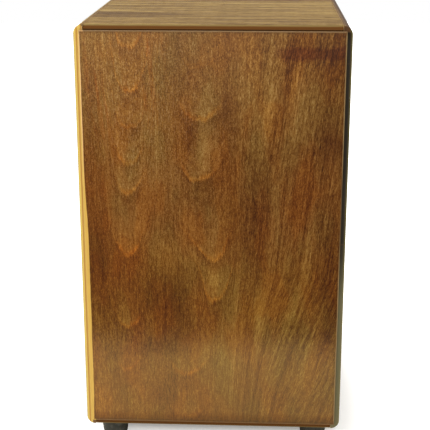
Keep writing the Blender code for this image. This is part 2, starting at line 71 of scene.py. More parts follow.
class Shader:
    """A Principled material written as expressions. Lengths are millimetres in the piece's own frame,
    which is the row frame for every piece built in place."""

    def __init__(self, name):
        self.mat = bpy.data.materials.new(name)
        self.mat.use_nodes = True
        self.tree = self.mat.node_tree
        self.tree.nodes.clear()
        out = self.node("ShaderNodeOutputMaterial")
        self.bsdf = self.node("ShaderNodeBsdfPrincipled")
        self.tree.links.new(self.bsdf.outputs[0], out.inputs[0])
        coord = self.node("ShaderNodeTexCoord")
        grown = self.node("ShaderNodeVectorMath")
        grown.operation = "SCALE"
        self.tree.links.new(coord.outputs["Object"], grown.inputs[0])
        grown.inputs["Scale"].default_value = 1000.0
        self.p = grown.outputs[0]
        parts = self.node("ShaderNodeSeparateXYZ")
        self.tree.links.new(self.p, parts.inputs[0])
        self.x, self.y, self.z = parts.outputs[:3]

    def node(self, kind):
        return self.tree.nodes.new(kind)

    def put(self, socket, value):
        if isinstance(value, bpy.types.NodeSocket):
            self.tree.links.new(value, socket)
        elif socket.type == "VECTOR" and len(value) == 4:
            socket.default_value = value[:3]
        else:
            socket.default_value = value

    def math(self, op, a, b=None, c=None, clamp=False):
        n = self.node("ShaderNodeMath")
        n.operation = op
        n.use_clamp = clamp
        for socket, value in zip(n.inputs, (a, b, c)):
            if value is not None:
                self.put(socket, value)
        return n.outputs[0]

    def add(self, *terms):
        total = terms[0]
        for t in terms[1:]:
            total = self.math("ADD", total, t)
        return total

    def sub(self, a, b):
        return self.math("SUBTRACT", a, b)

    def mul(self, *terms):
        total = terms[0]
        for t in terms[1:]:
            total = self.math("MULTIPLY", total, t)
        return total

    def span(self, v, a, b, lo=0.0, hi=1.0, smooth=True):
        """v from a..b to lo..hi, held at the ends."""
        n = self.node("ShaderNodeMapRange")
        n.interpolation_type = "SMOOTHSTEP" if smooth else "LINEAR"
        n.clamp = True
        for key, value in (
            ("Value", v),
            ("From Min", a),
            ("From Max", b),
            ("To Min", lo),
            ("To Max", hi),
        ):
            self.put(n.inputs[key], value)
        return n.outputs[0]

    def band(self, v, low, high, soft=0.15):
        """1 between low and high, 0 outside."""
        return self.mul(
            self.span(v, low - soft, low + soft), self.span(v, high - soft, high + soft, 1.0, 0.0)
        )

    def bell(self, u, v, cu, cv, su, sv):
        """A soft spot, 1 in its middle."""
        a = self.math("POWER", self.math("ABSOLUTE", self.mul(self.sub(u, cu), 1 / su)), 2.0)
        b = self.math("POWER", self.math("ABSOLUTE", self.mul(self.sub(v, cv), 1 / sv)), 2.0)
        return self.math("EXPONENT", self.mul(self.add(a, b), -1.0))

    def vec(self, x, y, z):
        n = self.node("ShaderNodeCombineXYZ")
        for socket, value in zip(n.inputs, (x, y, z)):
            self.put(socket, value)
        return n.outputs[0]

    def noise(self, vector, scale=1.0, detail=2.0, rough=0.5, distortion=0.0):
        n = self.node("ShaderNodeTexNoise")
        n.noise_dimensions = "3D"
        self.put(n.inputs["Vector"], vector)
        n.inputs["Scale"].default_value = scale
        n.inputs["Detail"].default_value = detail
        n.inputs["Roughness"].default_value = rough
        n.inputs["Distortion"].default_value = distortion
        return n.outputs[0]

    def stretched(self, sx, sy, sz, shift=0.0, detail=2.0, rough=0.5, x=None, y=None, z=None, distortion=0.0):
        """Noise with its own scale per axis, per millimetre."""
        vector = self.vec(
            self.math("MULTIPLY_ADD", self.x if x is None else x, sx, shift),
            self.math("MULTIPLY_ADD", self.y if y is None else y, sy, shift * 0.7),
            self.math("MULTIPLY_ADD", self.z if z is None else z, sz, shift * 1.3),
        )
        return self.noise(vector, 1.0, detail, rough, distortion)

    def signed(self, fac, amount=1.0, centre=0.5):
        """A 0..1 noise as a signed value of about +-amount."""
        return self.math("MULTIPLY_ADD", fac, 2 * amount, -2 * amount * centre)

    def ramp(self, fac, stops, interpolation="LINEAR"):
        n = self.node("ShaderNodeValToRGB")
        n.color_ramp.interpolation = interpolation
        elements = n.color_ramp.elements
        while len(elements) < len(stops):
            elements.new(0.5)
        for element, (position, colour) in zip(elements, stops):
            element.position = position
            element.color = colour
        self.put(n.inputs[0], fac)
        return n.outputs[0]

    def mix(self, fac, a, b, mode="MIX"):
        n = self.node("ShaderNodeMix")
        n.data_type = "RGBA"
        n.blend_type = mode
        n.clamp_factor = True
        self.put(n.inputs[0], fac)
        self.put(n.inputs[6], a)
        self.put(n.inputs[7], b)
        return n.outputs[2]

    def scaled(self, colour, gain):
        """A colour times a number."""
        n = self.node("ShaderNodeVectorMath")
        n.operation = "SCALE"
        self.put(n.inputs[0], colour)
        self.put(n.inputs["Scale"], gain)
        return n.outputs[0]

    def bump(self, height, distance_mm, strength=1.0, normal=None):
        n = self.node("ShaderNodeBump")
        self.put(n.inputs["Height"], height)
        n.inputs["Distance"].default_value = distance_mm * MM
        n.inputs["Strength"].default_value = strength
        if normal is not None:
            self.put(n.inputs["Normal"], normal)
        return n.outputs[0]

    def done(self, colour, roughness, metallic=0.0, normal=None, **more):
        self.put(self.bsdf.inputs["Base Color"], colour)
        self.put(self.bsdf.inputs["Roughness"], roughness)
        self.put(self.bsdf.inputs["Metallic"], metallic)
        if normal is not None:
            self.put(self.bsdf.inputs["Normal"], normal)
        for key, value in more.items():
            self.put(self.bsdf.inputs[key.replace("_", " ")], value)
        return self.mat


# ------------------------------------------------------------------ wood
def walnut_face():
    """Stained, flat-cut walnut veneer under lacquer: two columns of nested, drooping growth rings on
    the left, straight and slightly leaning grain on the right, and a worn pale arris."""
    s = Shader("walnut_veneer_lacquered")
    # The figure is drawn on slightly wandering coordinates, with saw-toothed edges as fibres give.
    drift = s.signed(s.stretched(0.022, 0.0, 0.010, 3.1, 2.0), 6.0)
    wander = s.signed(s.stretched(0.05, 0.0, 0.035, 8.7, 2.0), 6.0)
    serration = s.signed(s.stretched(0.75, 0.0, 0.03, 15.2, 3.0, 0.65), 7.5)
    fx = s.add(s.x, drift)
    fz = s.add(s.z, wander, serration)

    def droop(centre, left, right, power, spread, stretch=1.0):
        """Growth-ring height over a column: how far a ring's foot lies below this point. A ring has
        risen 14 mm at the distance left or right of the column's centre."""
        off = s.sub(fx, centre)
        reach = s.math("DIVIDE", s.math("ABSOLUTE", off), s.span(off, -3.0, 3.0, left, right))
        rise = s.mul(s.math("POWER", reach, power), stretch, 14.0)
        return s.sub(fz, rise), s.bell(off, off, 2.0, 2.0, spread, spread)

    def rings(h, levels, top):
        """(tone, line): each ring is pale just above its foot and darkens up to the next one."""
        low = levels[0][0] - 40.0
        stops = [(0.0, (0.5, 0.0, 0.0, 1.0))]
        for level, strength in levels:
            at = (level - low) / (top - low)
            stops.append((at - 0.0040, (0.5 - 0.26 * strength, 0.0, 0.0, 1.0)))
            stops.append((at + 0.0020, (0.5 + 0.14 * strength, strength, 0.0, 1.0)))
            stops.append((at + 0.0110, (0.5 + 0.16 * strength, 0.0, 0.0, 1.0)))
            stops.append((at + 0.0420, (0.5 + 0.18 * strength, 0.0, 0.0, 1.0)))
        parts = s.node("ShaderNodeSeparateColor")
        s.put(parts.inputs[0], s.ramp(s.mul(s.sub(h, low), 1 / (top - low)), stops[:32]))
        return parts.outputs[0], parts.outputs[1]

    centre1 = s.math("MULTIPLY_ADD", s.z, 0.028, -104.0)
    h1, near1 = droop(centre1, 12.3, 14.4, s.span(s.z, 330.0, 400.0, 2.2, 3.0), 21.0)
    tone1, line1 = rings(
        h1, ((96, 0.4), (150, 0.8), (240, 0.9), (311, 0.75), (345, 0.8), (387, 0.6), (429, 0.85), (476, 0.9)), 560.0
    )
    centre2 = s.add(-16.0, s.span(s.z, 320.0, 210.0, 0.0, 19.0), s.span(s.z, 175.0, 110.0, 0.0, -34.0))
    narrow = s.math("MULTIPLY_ADD", s.bell(s.z, s.z, 205.0, 205.0, 60.0, 60.0), 3.0, 1.0)
    h2, near2 = droop(centre2, 18.3, 22.5, 2.4, 30.0, narrow)
    tone2, line2 = rings(
        h2, ((38, 0.3), (93, 0.7), (186, 0.8), (236, 0.8), (329, 1.0), (397, 0.85), (455, 0.3)), 560.0
    )
    ridge = s.add(-37.0, s.span(s.z, 340.0, 260.0, 0.0, -12.0))
    second = s.span(s.sub(fx, ridge), -2.5, 2.5)
    straight = s.span(s.add(s.x, s.signed(s.stretched(0.01, 0.0, 0.012, 17.0, 2.0), 16.0)), 14.0, 40.0)
    field = s.math("MULTIPLY_ADD", s.sub(h2, h1), second, h1)
    ring_tone = s.math("MULTIPLY_ADD", s.sub(tone2, tone1), second, tone1)
    ring_line = s.math("MULTIPLY_ADD", s.sub(line2, line1), second, line1)
    near = s.math("MULTIPLY_ADD", s.sub(near2, near1), second, near1)
    curly = s.sub(1.0, straight)
    fine_rings = s.signed(s.noise(s.vec(0.0, s.mul(field, 0.11), 2.0), 1.0, 3.0, 0.65), 1.0)
    # rings fade where their edge runs along the fibres
    limbs = s.mul(s.span(s.z, 350.0, 420.0, 0.10, 0.95), s.sub(1.0, second))
    ring_line = s.mul(
        ring_line,
        curly,
        s.span(s.noise(s.p, 0.06, 2.0), 0.25, 0.60, 0.35, 1.0),
        s.math("MAXIMUM", s.span(near, 0.15, 0.75, 0.10, 1.0), limbs),
    )

    # Straight grain; to the right it leans over, most of all low down.
    reach = s.span(s.x, 0.0, 90.0)
    shear = s.mul(reach, s.sub(s.z, 300.0), 0.11)
    low_lean = s.mul(s.span(s.x, 5.0, 60.0), s.math("MINIMUM", s.sub(s.z, 215.0), 0.0), 0.21)
    gx = s.sub(s.sub(s.add(s.x, s.mul(drift, 0.6)), shear), low_lean)
    wide = s.signed(s.stretched(0.042, 0.0, 0.0040, 21.0, 2.0, 0.5, x=gx))
    streak = s.signed(s.stretched(0.14, 0.0, 0.0060, 33.0, 3.0, 0.6, x=gx))
    thin = s.signed(s.stretched(0.36, 0.0, 0.0075, 41.0, 2.0, 0.6, x=gx))
    fleck = s.signed(s.stretched(1.0, 0.0, 0.15, 55.0, 2.0, 0.65, x=gx))
    hair = s.signed(s.stretched(1.7, 0.0, 0.50, 62.0, 2.0, 0.7, x=gx))
    cloud = s.signed(s.stretched(0.017, 0.0, 0.010, 71.0, 2.0))
    hue = s.signed(s.stretched(0.030, 0.0, 0.012, 76.0, 2.0))
    pore = s.span(s.stretched(1.9, 0.0, 0.11, 83.0, 2.0, 0.7, x=gx), 0.60, 0.74)
    # where the rings droop the fibres come out at the surface, so the grain is grittier
    gritty = s.mul(curly, s.span(s.z, 150.0, 400.0, 0.35, 1.0))
    grit = s.signed(s.stretched(1.0, 0.0, 0.85, 88.0, 2.0, 0.65))
    lively = s.sub(s.span(s.z, 395.0, 470.0, 1.0, 1.34), s.mul(s.bell(s.x, s.z, -120.0, 310.0, 34.0, 80.0), 0.18))
    even = s.sub(1.0, s.mul(s.bell(s.x, s.z, 46.0, 270.0, 34.0, 130.0), 0.42))
    swirl = s.signed(s.noise(s.vec(s.mul(fx, 0.10), s.mul(field, 0.30), 91.0), 1.0, 2.0, 0.6))

    tone = s.add(
        1.0,
        s.mul(wide, s.add(0.12, s.mul(straight, 0.20))),
        s.mul(cloud, 0.12),
        s.mul(streak, even, s.add(0.12, s.mul(straight, s.span(s.z, 230.0, 90.0, 0.26, 0.30)))),
        s.mul(thin, even, s.add(0.22, s.mul(straight, s.span(s.z, 230.0, 90.0, 0.26, 0.17)))),
        s.mul(fleck, lively, s.math("MULTIPLY_ADD", gritty, -0.30, 0.72)),
        s.mul(hair, lively, s.math("MULTIPLY_ADD", gritty, -0.20, 0.70)),
        s.mul(grit, lively, gritty, 0.62),
        s.mul(swirl, lively, gritty, 0.34),
        s.mul(curly, s.signed(ring_tone, 0.30), s.span(near, 0.0, 0.8, 0.35, 1.0)),
        s.mul(curly, fine_rings, 0.12),
        s.mul(pore, -0.16),
    )
    # Places where the log was darker or paler.
    for cu, cv, su, sv, amount in (
        (-48, 186, 24, 40, -0.30),
        (-25, 372, 7, 26, -0.26),
        (-8, 368, 8, 26, 0.14),
        (-128, 250, 16, 80, -0.22),
        (-132, 400, 8, 60, -0.14),
        (-95, 190, 34, 40, -0.22),
        (-52, 238, 16, 24, 0.16),
        (40, 280, 22, 70, -0.26),
        (18, 370, 14, 70, -0.12),
        (112, 468, 42, 28, -0.28),
        (98, 250, 14, 50, 0.14),
        (110, 320, 12, 90, -0.06),
        (44, 412, 20, 56, 0.16),
        (98, 400, 13, 56, 0.12),
        (126, 410, 12, 34, 0.06),
        (134, 372, 14, 18, -0.12),
        (52, 170, 9, 45, 0.26),
        (88, 176, 26, 22, 0.12),
        (4, 214, 7, 26, 0.20),
        (22, 88, 30, 30, 0.08),
        (-58, 128, 24, 14, -0.22),
        (-112, 118, 20, 14, -0.14),
        (-54, 66, 18, 30, -0.30),
        (-134, 60, 14, 30, 0.10),
        (-118, 476, 30, 26, 0.12),
        (18, 404, 16, 26, -0.14),
        (-20, 436, 18, 34, -0.07),
        (-128, 236, 14, 26, -0.12),
        (50, 292, 16, 26, -0.10),
        (88, 58, 16, 22, -0.10),
        (-126, 58, 14, 20, 0.08),
        (132, 140, 14, 60, -0.18),
        (20, 130, 40, 28, 0.14),
        (110, 60, 40, 24, -0.10),
        (135, 222, 14, 62, -0.32),
        (-20, 150, 22, 30, -0.08),
    ):
        tone = s.add(tone, s.mul(s.bell(s.x, s.z, cu, cv, su, sv), amount))

    # Slow light to dark: paler at the upper left, deepest two thirds of the way down on the right. The fall from left
    # to right is painted shade, away from the light on the left; the lift low down is a painted reflection of the
    # floor's glare; the strip just above the bottom edge is darker.
    edge = s.add(s.z, s.signed(s.stretched(0.020, 0.0, 0.0, 95.0, 3.0, 0.6), 26.0))
    painted_floor_glare = s.span(edge, 152.0, 108.0)
    slow = s.add(
        1.02,
        s.span(s.x, -145.0, 145.0, 0.08, -0.18, smooth=False),
        s.span(s.z, 300.0, 490.0, 0.0, 0.10),
        s.mul(painted_floor_glare, 0.22),
        s.span(s.z, 46.0, 33.0, 0.0, -0.46),
    )
    stain = s.math(
        "MAXIMUM",
        s.mul(
            s.band(s.add(s.z, s.signed(s.stretched(0.12, 0.0, 0.10, 101.0), 5.0)), 463.0, 477.0, 3.0),
            s.span(s.add(s.x, s.signed(s.stretched(0.05, 0.0, 0.2, 105.0), 12.0)), 62.0, 84.0),
        ),
        s.mul(s.bell(s.x, s.z, 132.0, 372.0, 16.0, 20.0), 0.7),
    )

    def brown(red, green, blue):
        return (red, red * green, red * blue, 1.0)

    body = s.ramp(
        s.span(tone, 0.40, 1.60, smooth=False),
        [
            (0.00, brown(0.046, 0.25, 0.020)),
            (0.28, brown(0.100, 0.305, 0.030)),
            (0.50, brown(0.157, 0.372, 0.047)),
            (0.74, brown(0.230, 0.445, 0.078)),
            (1.00, brown(0.334, 0.52, 0.130)),
        ],
    )
    body = s.mix(s.mul(ring_line, 0.95), body, s.mix(1.0, body, (1.72, 1.48, 0.86, 1.0), "MULTIPLY"))
    # orange and olive by turns
    body = s.mix(s.span(hue, 0.02, 0.22), body, s.mix(1.0, body, (1.06, 0.94, 0.72, 1.0), "MULTIPLY"))
    body = s.mix(s.span(hue, -0.02, -0.22), body, s.mix(1.0, body, (0.95, 1.06, 1.16, 1.0), "MULTIPLY"))
    warm = s.math(
        "MAXIMUM",
        s.bell(s.x, s.z, -100.0, 205.0, 46.0, 60.0),
        s.math("MAXIMUM", s.bell(s.x, s.z, -50.0, 238.0, 18.0, 26.0), s.bell(s.x, s.z, 100.0, 300.0, 60.0, 60.0)),
    )
    warm = s.math("MAXIMUM", warm, s.bell(s.x, s.z, 130.0, 238.0, 18.0, 40.0))
    cool = s.math(
        "MAXIMUM",
        s.bell(s.x, s.z, -80.0, 420.0, 52.0, 70.0),
        s.math("MAXIMUM", s.bell(s.x, s.z, 50.0, 410.0, 22.0, 60.0), s.bell(s.x, s.z, 96.0, 90.0, 54.0, 90.0)),
    )
    cool = s.math("MAXIMUM", cool, s.bell(s.x, s.z, -120.0, 478.0, 70.0, 34.0))
    cool = s.math("MAXIMUM", cool, s.bell(s.x, s.z, 46.0, 170.0, 24.0, 44.0))
    cool = s.math("MAXIMUM", cool, s.bell(s.x, s.z, 0.0, 116.0, 50.0, 40.0))
    cool = s.math("MAXIMUM", cool, s.bell(s.x, s.z, 18.0, 292.0, 18.0, 28.0))
    # the steep sides of the rings at the upper left show as orange bands between greyer ones
    steep = s.stretched(0.13, 0.0, 0.0045, 160.0, 2.0, 0.5, x=s.add(fx, s.mul(s.sub(s.z, 430.0), 0.10)))
    flank = s.math(
        "MAXIMUM", s.bell(s.x, s.z, -124.0, 440.0, 20.0, 58.0), s.mul(s.bell(s.x, s.z, -68.0, 452.0, 16.0, 44.0), 0.8)
    )
    body = s.mix(s.mul(flank, s.span(steep, 0.50, 0.60)), body, s.mix(1.0, body, (1.16, 0.90, 0.56, 1.0), "MULTIPLY"))
    body = s.mix(s.mul(flank, s.span(steep, 0.48, 0.38)), body, s.mix(1.0, body, (1.22, 1.26, 1.34, 1.0), "MULTIPLY"))
    # fibres catch the light at the upper left
    glint = s.mul(s.span(s.add(hair, s.mul(fleck, 0.7)), 0.10, 0.34), s.bell(s.x, s.z, -90.0, 440.0, 110.0, 110.0))
    body = s.mix(s.mul(glint, 0.20), body, linear((176, 146, 106)))
    body = s.mix(warm, body, s.mix(1.0, body, (1.03, 0.93, 0.82, 1.0), "MULTIPLY"))
    body = s.mix(cool, body, s.mix(1.0, body, (0.99, 1.08, 1.12, 1.0), "MULTIPLY"))
    body = s.mix(s.bell(s.x, s.z, -134.0, 300.0, 22.0, 120.0), body, s.mix(1.0, body, (1.0, 0.88, 0.62, 1.0), "MULTIPLY"))
    body = s.mix(s.span(s.z, 290.0, 200.0), body, s.mix(1.0, body, (1.0, 0.99, 0.67, 1.0), "MULTIPLY"))
    body = s.scaled(body, slow)
    body = s.mix(s.mul(stain, 0.95), body, s.mix(1.0, body, (0.70, 0.47, 0.48, 1.0), "MULTIPLY"))
    # Painted sheen: the upper part, most of all on the left, is washed toward a pale tan as if it mirrored the light
    # above.
    painted_sheen = s.mul(s.span(s.z, 350.0, 494.0, 0.0, 0.20), s.span(s.x, 20.0, 100.0, 1.0, 0.30))
    body = s.mix(painted_sheen, body, linear((132, 102, 64)))
    # Painted reflection: low down, the floor's glare is washed over the colour.
    body = s.mix(s.mul(painted_floor_glare, 0.20), body, linear((134, 108, 58)))
    body = s.mix(s.span(s.z, 47.0, 36.0), body, s.mix(1.0, body, (0.95, 0.80, 0.55, 1.0), "MULTIPLY"))

    # The arris: the raw, paler edge of the plate, sanded through the stain.
    wear = s.signed(s.stretched(0.08, 0.3, 0.08, 120.0, 3.0, 0.6), 0.5)
    left = s.span(s.x, -138.0, -139.5)
    # the left arris is sanded wider over the lower two thirds
    sanded = s.mul(left, s.mul(s.span(s.z, 345.0, 250.0), s.span(s.z, 30.0, 70.0, 0.6, 1.0)))
    from_edge = s.math(
        "MINIMUM",
        s.sub(144.0, s.math("ABSOLUTE", s.x)),
        s.math("MINIMUM", s.add(s.sub(s.z, 31.0), s.mul(sanded, 2.5)), s.sub(494.0, s.z)),
    )
    width = s.math("MULTIPLY_ADD", sanded, 2.5, 1.1)
    rim = s.span(s.sub(s.add(from_edge, wear), width), 0.35, -0.35)
    buildup = s.mul(s.span(s.sub(from_edge, width), 3.5, 0.6), 0.22)
    body = s.scaled(body, s.sub(1.0, buildup))
    # Painted shade: the right arris is painted dark, paler only in a band through the middle, while the left arris
    # keeps its pale raw colour.
    shaded_right_rim = s.mix(
        s.mul(s.band(s.z, 240.0, 345.0, 30.0), 0.8), linear((140, 112, 70)), linear((84, 56, 28))
    )
    left_rim = s.mix(s.span(s.z, 400.0, 300.0), linear((218, 172, 112)), linear((204, 162, 74)))
    low_rim = s.span(s.z, 38.0, 34.0)
    rim_colour = s.mix(left, shaded_right_rim, left_rim)
    rim_colour = s.mix(s.mul(s.span(s.z, 489.0, 492.0), 0.42), rim_colour, linear((84, 50, 28)))
    rim_colour = s.mix(s.mul(low_rim, s.sub(1.0, left)), rim_colour, linear((116, 84, 48)))
    grainy = s.signed(s.stretched(0.9, 0.9, 0.05, 131.0, 3.0), 0.12)
    rim_colour = s.scaled(rim_colour, s.add(0.96, grainy))
    body = s.mix(rim, body, rim_colour)
    behind = s.span(s.y, -149.3, -148.0)
    body = s.mix(behind, body, s.scaled(linear((150, 110, 62)), s.add(0.8, grainy)))

    relief = s.add(s.mul(fleck, 0.5), s.mul(hair, 0.25), s.mul(pore, -0.8), s.mul(thin, 0.3))
    normal = s.bump(relief, 0.10, 0.55)
    # The lacquer lies a little unevenly over the fibres, so what it mirrors has a wavy edge.
    uneven = s.add(
        s.signed(s.stretched(0.035, 0.0, 0.012, 140.0, 2.0)),
        s.mul(s.signed(s.stretched(0.5, 0.0, 0.05, 150.0, 2.0)), 0.05),
    )
    lacquer = s.bump(uneven, 0.28, 1.0)
    rough = s.add(0.52, s.mul(fleck, 0.10), s.mul(pore, 0.12), s.mul(cloud, 0.05))
    return s.done(
        body,
        rough,
        normal=normal,
        Coat_Weight=0.55,
        Coat_Roughness=s.add(0.17, s.mul(cloud, 0.03), s.mul(pore, 0.10)),
        Coat_Normal=lacquer,
        Specular_IOR_Level=0.06,
    )


def oak(s, along, across, thick_axis, shift=0.0, gain=1.0, contrast=1.0):
    """Colour and relief of open-pored oak veneer: grain runs along the first coordinate."""
    wave = s.signed(s.noise(s.vec(s.mul(along, 0.006), s.mul(across, 0.02), shift), 1.0, 2.0), 9.0)
    g = s.add(across, wave)
    ring = s.noise(s.vec(s.mul(along, 0.004), s.mul(g, 0.10), shift + 3), 1.0, 3.0, 0.6)
    fine = s.noise(s.vec(s.mul(along, 0.03), s.mul(g, 0.55), shift + 7), 1.0, 3.0, 0.65)
    pore_noise = s.noise(s.vec(s.mul(along, 0.075), s.mul(g, 1.25), shift + 11), 1.0, 2.0, 0.7)
    pores = s.span(pore_noise, 0.53, 0.68)
    broad = s.noise(s.vec(s.mul(along, 0.003), s.mul(g, 0.022), shift + 19), 1.0, 2.0)
    late = s.span(ring, 0.42, 0.62)
    tone = s.add(
        0.52,
        s.signed(broad, 0.28),
        s.mul(late, -0.26),
        s.signed(fine, 0.52),
        s.mul(pores, s.add(-0.34, s.mul(late, -0.22))),
    )
    if contrast != 1.0:
        tone = s.math("MULTIPLY_ADD", s.sub(tone, 0.42), contrast, 0.42)
    colour = s.ramp(
        tone,
        [
            (0.05, linear((66, 40, 10))),
            (0.34, linear((111, 82, 34))),
            (0.55, linear((148, 120, 64))),
            (0.95, linear((184, 159, 98))),
        ],
    )
    relief = s.add(s.mul(pores, -1.0), s.signed(fine, 0.35))
    rough = s.add(0.42, s.mul(pores, 0.16), s.signed(fine, 0.08))
    return (s.scaled(colour, gain) if gain != 1.0 else colour), relief, rough


def plies(s, depth, stops, shift, along_a, along_b):
    """Edge of a laminated board: colours by depth from its face, in mm, with end-grain stipple."""
    total = stops[-1][0]
    ragged = s.signed(s.noise(s.vec(s.mul(along_a, 0.05), s.mul(along_b, 0.05), shift), 1.0, 3.0, 0.6), 0.35)
    fac = s.mul(s.add(depth, ragged), 1 / total)
    n = s.ramp(fac, [(d / total, c) for d, c in stops], "LINEAR")
    stipple = s.signed(
        s.noise(s.vec(s.mul(along_a, 0.8), s.mul(depth, 2.2), s.mul(along_b, 0.11)), 1.0, 3.0, 0.65), 0.16
    )
    knots = s.noise(s.vec(s.mul(along_a, 0.035), shift, s.mul(along_b, 0.06)), 1.0, 1.0)
    spots = s.span(knots, 0.70, 0.735)
    colour = s.scaled(n, s.add(1.0, stipple))
    return s.mix(s.mul(spots, 0.6), colour, linear((120, 78, 36))), stipple


def side_wood(name, left):
    """Laminated side: oak veneer on the outside, laminations showing on every rounded edge."""
    s = Shader(name)
    depth = s.sub(150.0, s.math("ABSOLUTE", s.x))
    veneer, relief, rough = oak(s, s.z, s.y, s.x, 2.0 if left else 31.0, 0.92, 0.62)
    # The left side's laminations are shown in their own pale colours; the right side's are a dark copy of them,
    # painted shade, as that side faces away from the light.
    if left:
        stops = [
            (0.0, linear((176, 146, 76))),
            (0.7, linear((208, 180, 92))),
            (2.2, linear((208, 178, 88))),
            (3.0, linear((176, 128, 58))),
            (3.9, linear((174, 124, 54))),
            (4.6, linear((206, 174, 88))),
            (7.0, linear((204, 170, 86))),
            (8.0, linear((176, 130, 66))),
            (10.0, linear((190, 158, 96))),
        ]
    else:
        stops = [
            (0.0, linear((104, 100, 56))),
            (0.9, linear((84, 78, 42))),
            (2.0, linear((54, 44, 26))),
            (3.2, linear((36, 30, 20))),
            (5.5, linear((40, 34, 24))),
            (7.0, linear((58, 46, 30))),
            (8.0, linear((62, 46, 28))),
            (10.0, linear((80, 58, 34))),
        ]
    edge, stipple = plies(s, depth, stops, 5.0 if left else 9.0, s.y, s.z)
    # Painted light on the right's shaded edge: lighter and greener low down, where the floor throws light back, and
    # multiplied lighter again near the top and the bottom.
    if not left:
        edge = s.mix(
            s.span(s.add(s.z, s.signed(s.stretched(0.0, 0.0, 0.05, 3.0), 14.0)), 260.0, 170.0, 0.0, 0.75),
            edge,
            linear((100, 94, 64)),
        )
        edge = s.scaled(edge, s.add(s.span(s.z, 440.0, 380.0, 1.38, 1.16), s.span(s.z, 360.0, 300.0, 0.0, 0.34)))
    # Veneer stays on the flat outer face; it is rounded through at the edges.
    fade = s.signed(s.stretched(0.0, 0.05, 0.05, 14.0, 3.0), 0.10)
    on_face = s.span(s.add(depth, fade), 0.16, 0.42, 1.0, 0.0)
    # Only the front rim keeps its own colours, on the right the painted shade, which also stays over part of the right
    # side's top end; the other edges are plain pale ply.
    front = s.span(s.y, -140.0, -136.5, 1.0, 0.0)
    plain, _ = plies(
        s,
        depth,
        [
            (0.0, linear((150, 120, 72))),
            (1.2, linear((176, 146, 92))),
            (2.0, linear((122, 86, 46))),
            (3.0, linear((172, 142, 90))),
            (5.0, linear((176, 146, 94))),
            (6.0, linear((122, 86, 46))),
            (7.2, linear((172, 142, 90))),
            (10.0, linear((200, 168, 112))),
        ],
        17.0,
        s.y,
        s.z,
    )
    if left:
        keep = front
    else:
        keep = s.math("MAXIMUM", front, s.span(s.z, 480.0, 486.0, 0.0, 0.55))
    edge = s.mix(keep, plain, edge)
    colour = s.mix(on_face, edge, veneer)
    # The seat's veneer runs out over the top of the side.
    under = s.sub(500.0, s.z)
    over, over_relief, _ = oak(s, s.x, s.y, s.z, 53.0)
    on_top = s.span(s.add(under, fade), 0.30, 0.75, 1.0, 0.0)
    if left:
        colour = s.mix(on_top, colour, over)
        line = s.mul(s.band(under, 0.7, 4.0, 0.3), s.span(s.y, -141.0, -139.0))
        colour = s.mix(line, colour, s.scaled(linear((128, 116, 60)), s.add(1.0, stipple)))
    else:
        # Painted shade on the right: the seat's veneer over the side's top is darkened, and the rounded shoulder below
        # it is painted dark brown.
        colour = s.mix(on_top, colour, s.scaled(over, 0.8))
        shoulder = s.mul(s.span(under, 8.0, 5.5), s.span(under, 0.12, 0.55))
        shade_on_shoulder = s.mix(s.span(depth, 1.5, 4.0), linear((92, 84, 56)), linear((84, 58, 36)))
        colour = s.mix(shoulder, colour, s.scaled(shade_on_shoulder, s.add(1.0, stipple)))
    # Stain has run onto the ends of the side where the seat and the base meet it.
    seam = s.mul(s.span(depth, 8.4, 9.2), s.span(under, 3.0, 1.2))
    if left:
        seam = s.math("MAXIMUM", seam, s.mul(s.span(depth, 6.2, 6.7), s.span(s.z, 34.0, 32.5), front))
    colour = s.mix(s.mul(seam, 0.9), colour, s.scaled(linear((98, 64, 32)), s.add(1.0, stipple)))
    # Inner face: raw birch.
    inner = s.span(depth, 9.90, 9.98)
    birch = s.scaled(
        linear((206, 176, 124)),
        s.add(1.0, s.signed(s.stretched(0.0, 0.35, 0.012, 77.0, 3.0, 0.6), 0.18)),
    )
    colour = s.mix(inner, colour, birch)
    normal = s.bump(s.add(s.mul(relief, on_face), s.mul(stipple, 1.5)), 0.12, 0.6)
    roughness = s.mix(on_face, (0.5, 0.5, 0.5, 1), rough)
    return s.done(colour, roughness, normal=normal, Specular_IOR_Level=s.span(s.z, 478.0, 494.0, 0.25, 0.05))


def level_panel(name, top):
    """Seat or base: veneered outer face, stained front edge, laminations behind it."""
    s = Shader(name)
    depth = s.sub(500.0, s.z) if top else s.sub(s.z, 25.0)
    veneer, relief, rough = oak(s, s.x, s.y, s.z, 53.0 if top else 67.0)
    edge, stipple = plies(
        s,
        depth,
        [
            (0.0, linear((124, 110, 72))),
            (0.9, linear((118, 98, 58))),
            (1.8, linear((96, 62, 28))),
            (3.2, linear((92, 56, 24))),
            (4.2, linear((104, 68, 32))),
            (6.0, linear((86, 54, 26))),
            (7.4, linear((104, 72, 38))),
            (9.0, linear((84, 54, 26))),
            (12.0, linear((110, 78, 42))),
        ],
        23.0 if top else 29.0,
        s.x,
        s.y,
    )
    on_face = s.span(s.add(depth, s.signed(s.stretched(0.05, 0.0, 0.0, 4.0, 3.0), 0.10)), 0.18, 0.5, 1.0, 0.0)
    front = s.span(s.y, -141.5, -143.5)
    edge = s.mix(s.mul(front, s.span(depth, 4.3, 5.0, 0.0, 0.75)), edge, linear((36, 24, 14)))
    colour = s.mix(on_face, edge, veneer)
    inner = s.span(depth, 11.6, 11.9)
    birch = s.scaled(
        linear((206, 176, 124)),
        s.add(1.0, s.signed(s.stretched(0.012, 0.35, 0.0, 79.0, 3.0, 0.6), 0.18)),
    )
    colour = s.mix(inner, colour, birch)
    normal = s.bump(s.add(s.mul(relief, on_face), s.mul(stipple, 1.2)), 0.14, 0.6)
    roughness = s.mix(on_face, (0.5, 0.5, 0.5, 1), rough)
    return s.done(colour, roughness, normal=normal, Specular_IOR_Level=0.02)


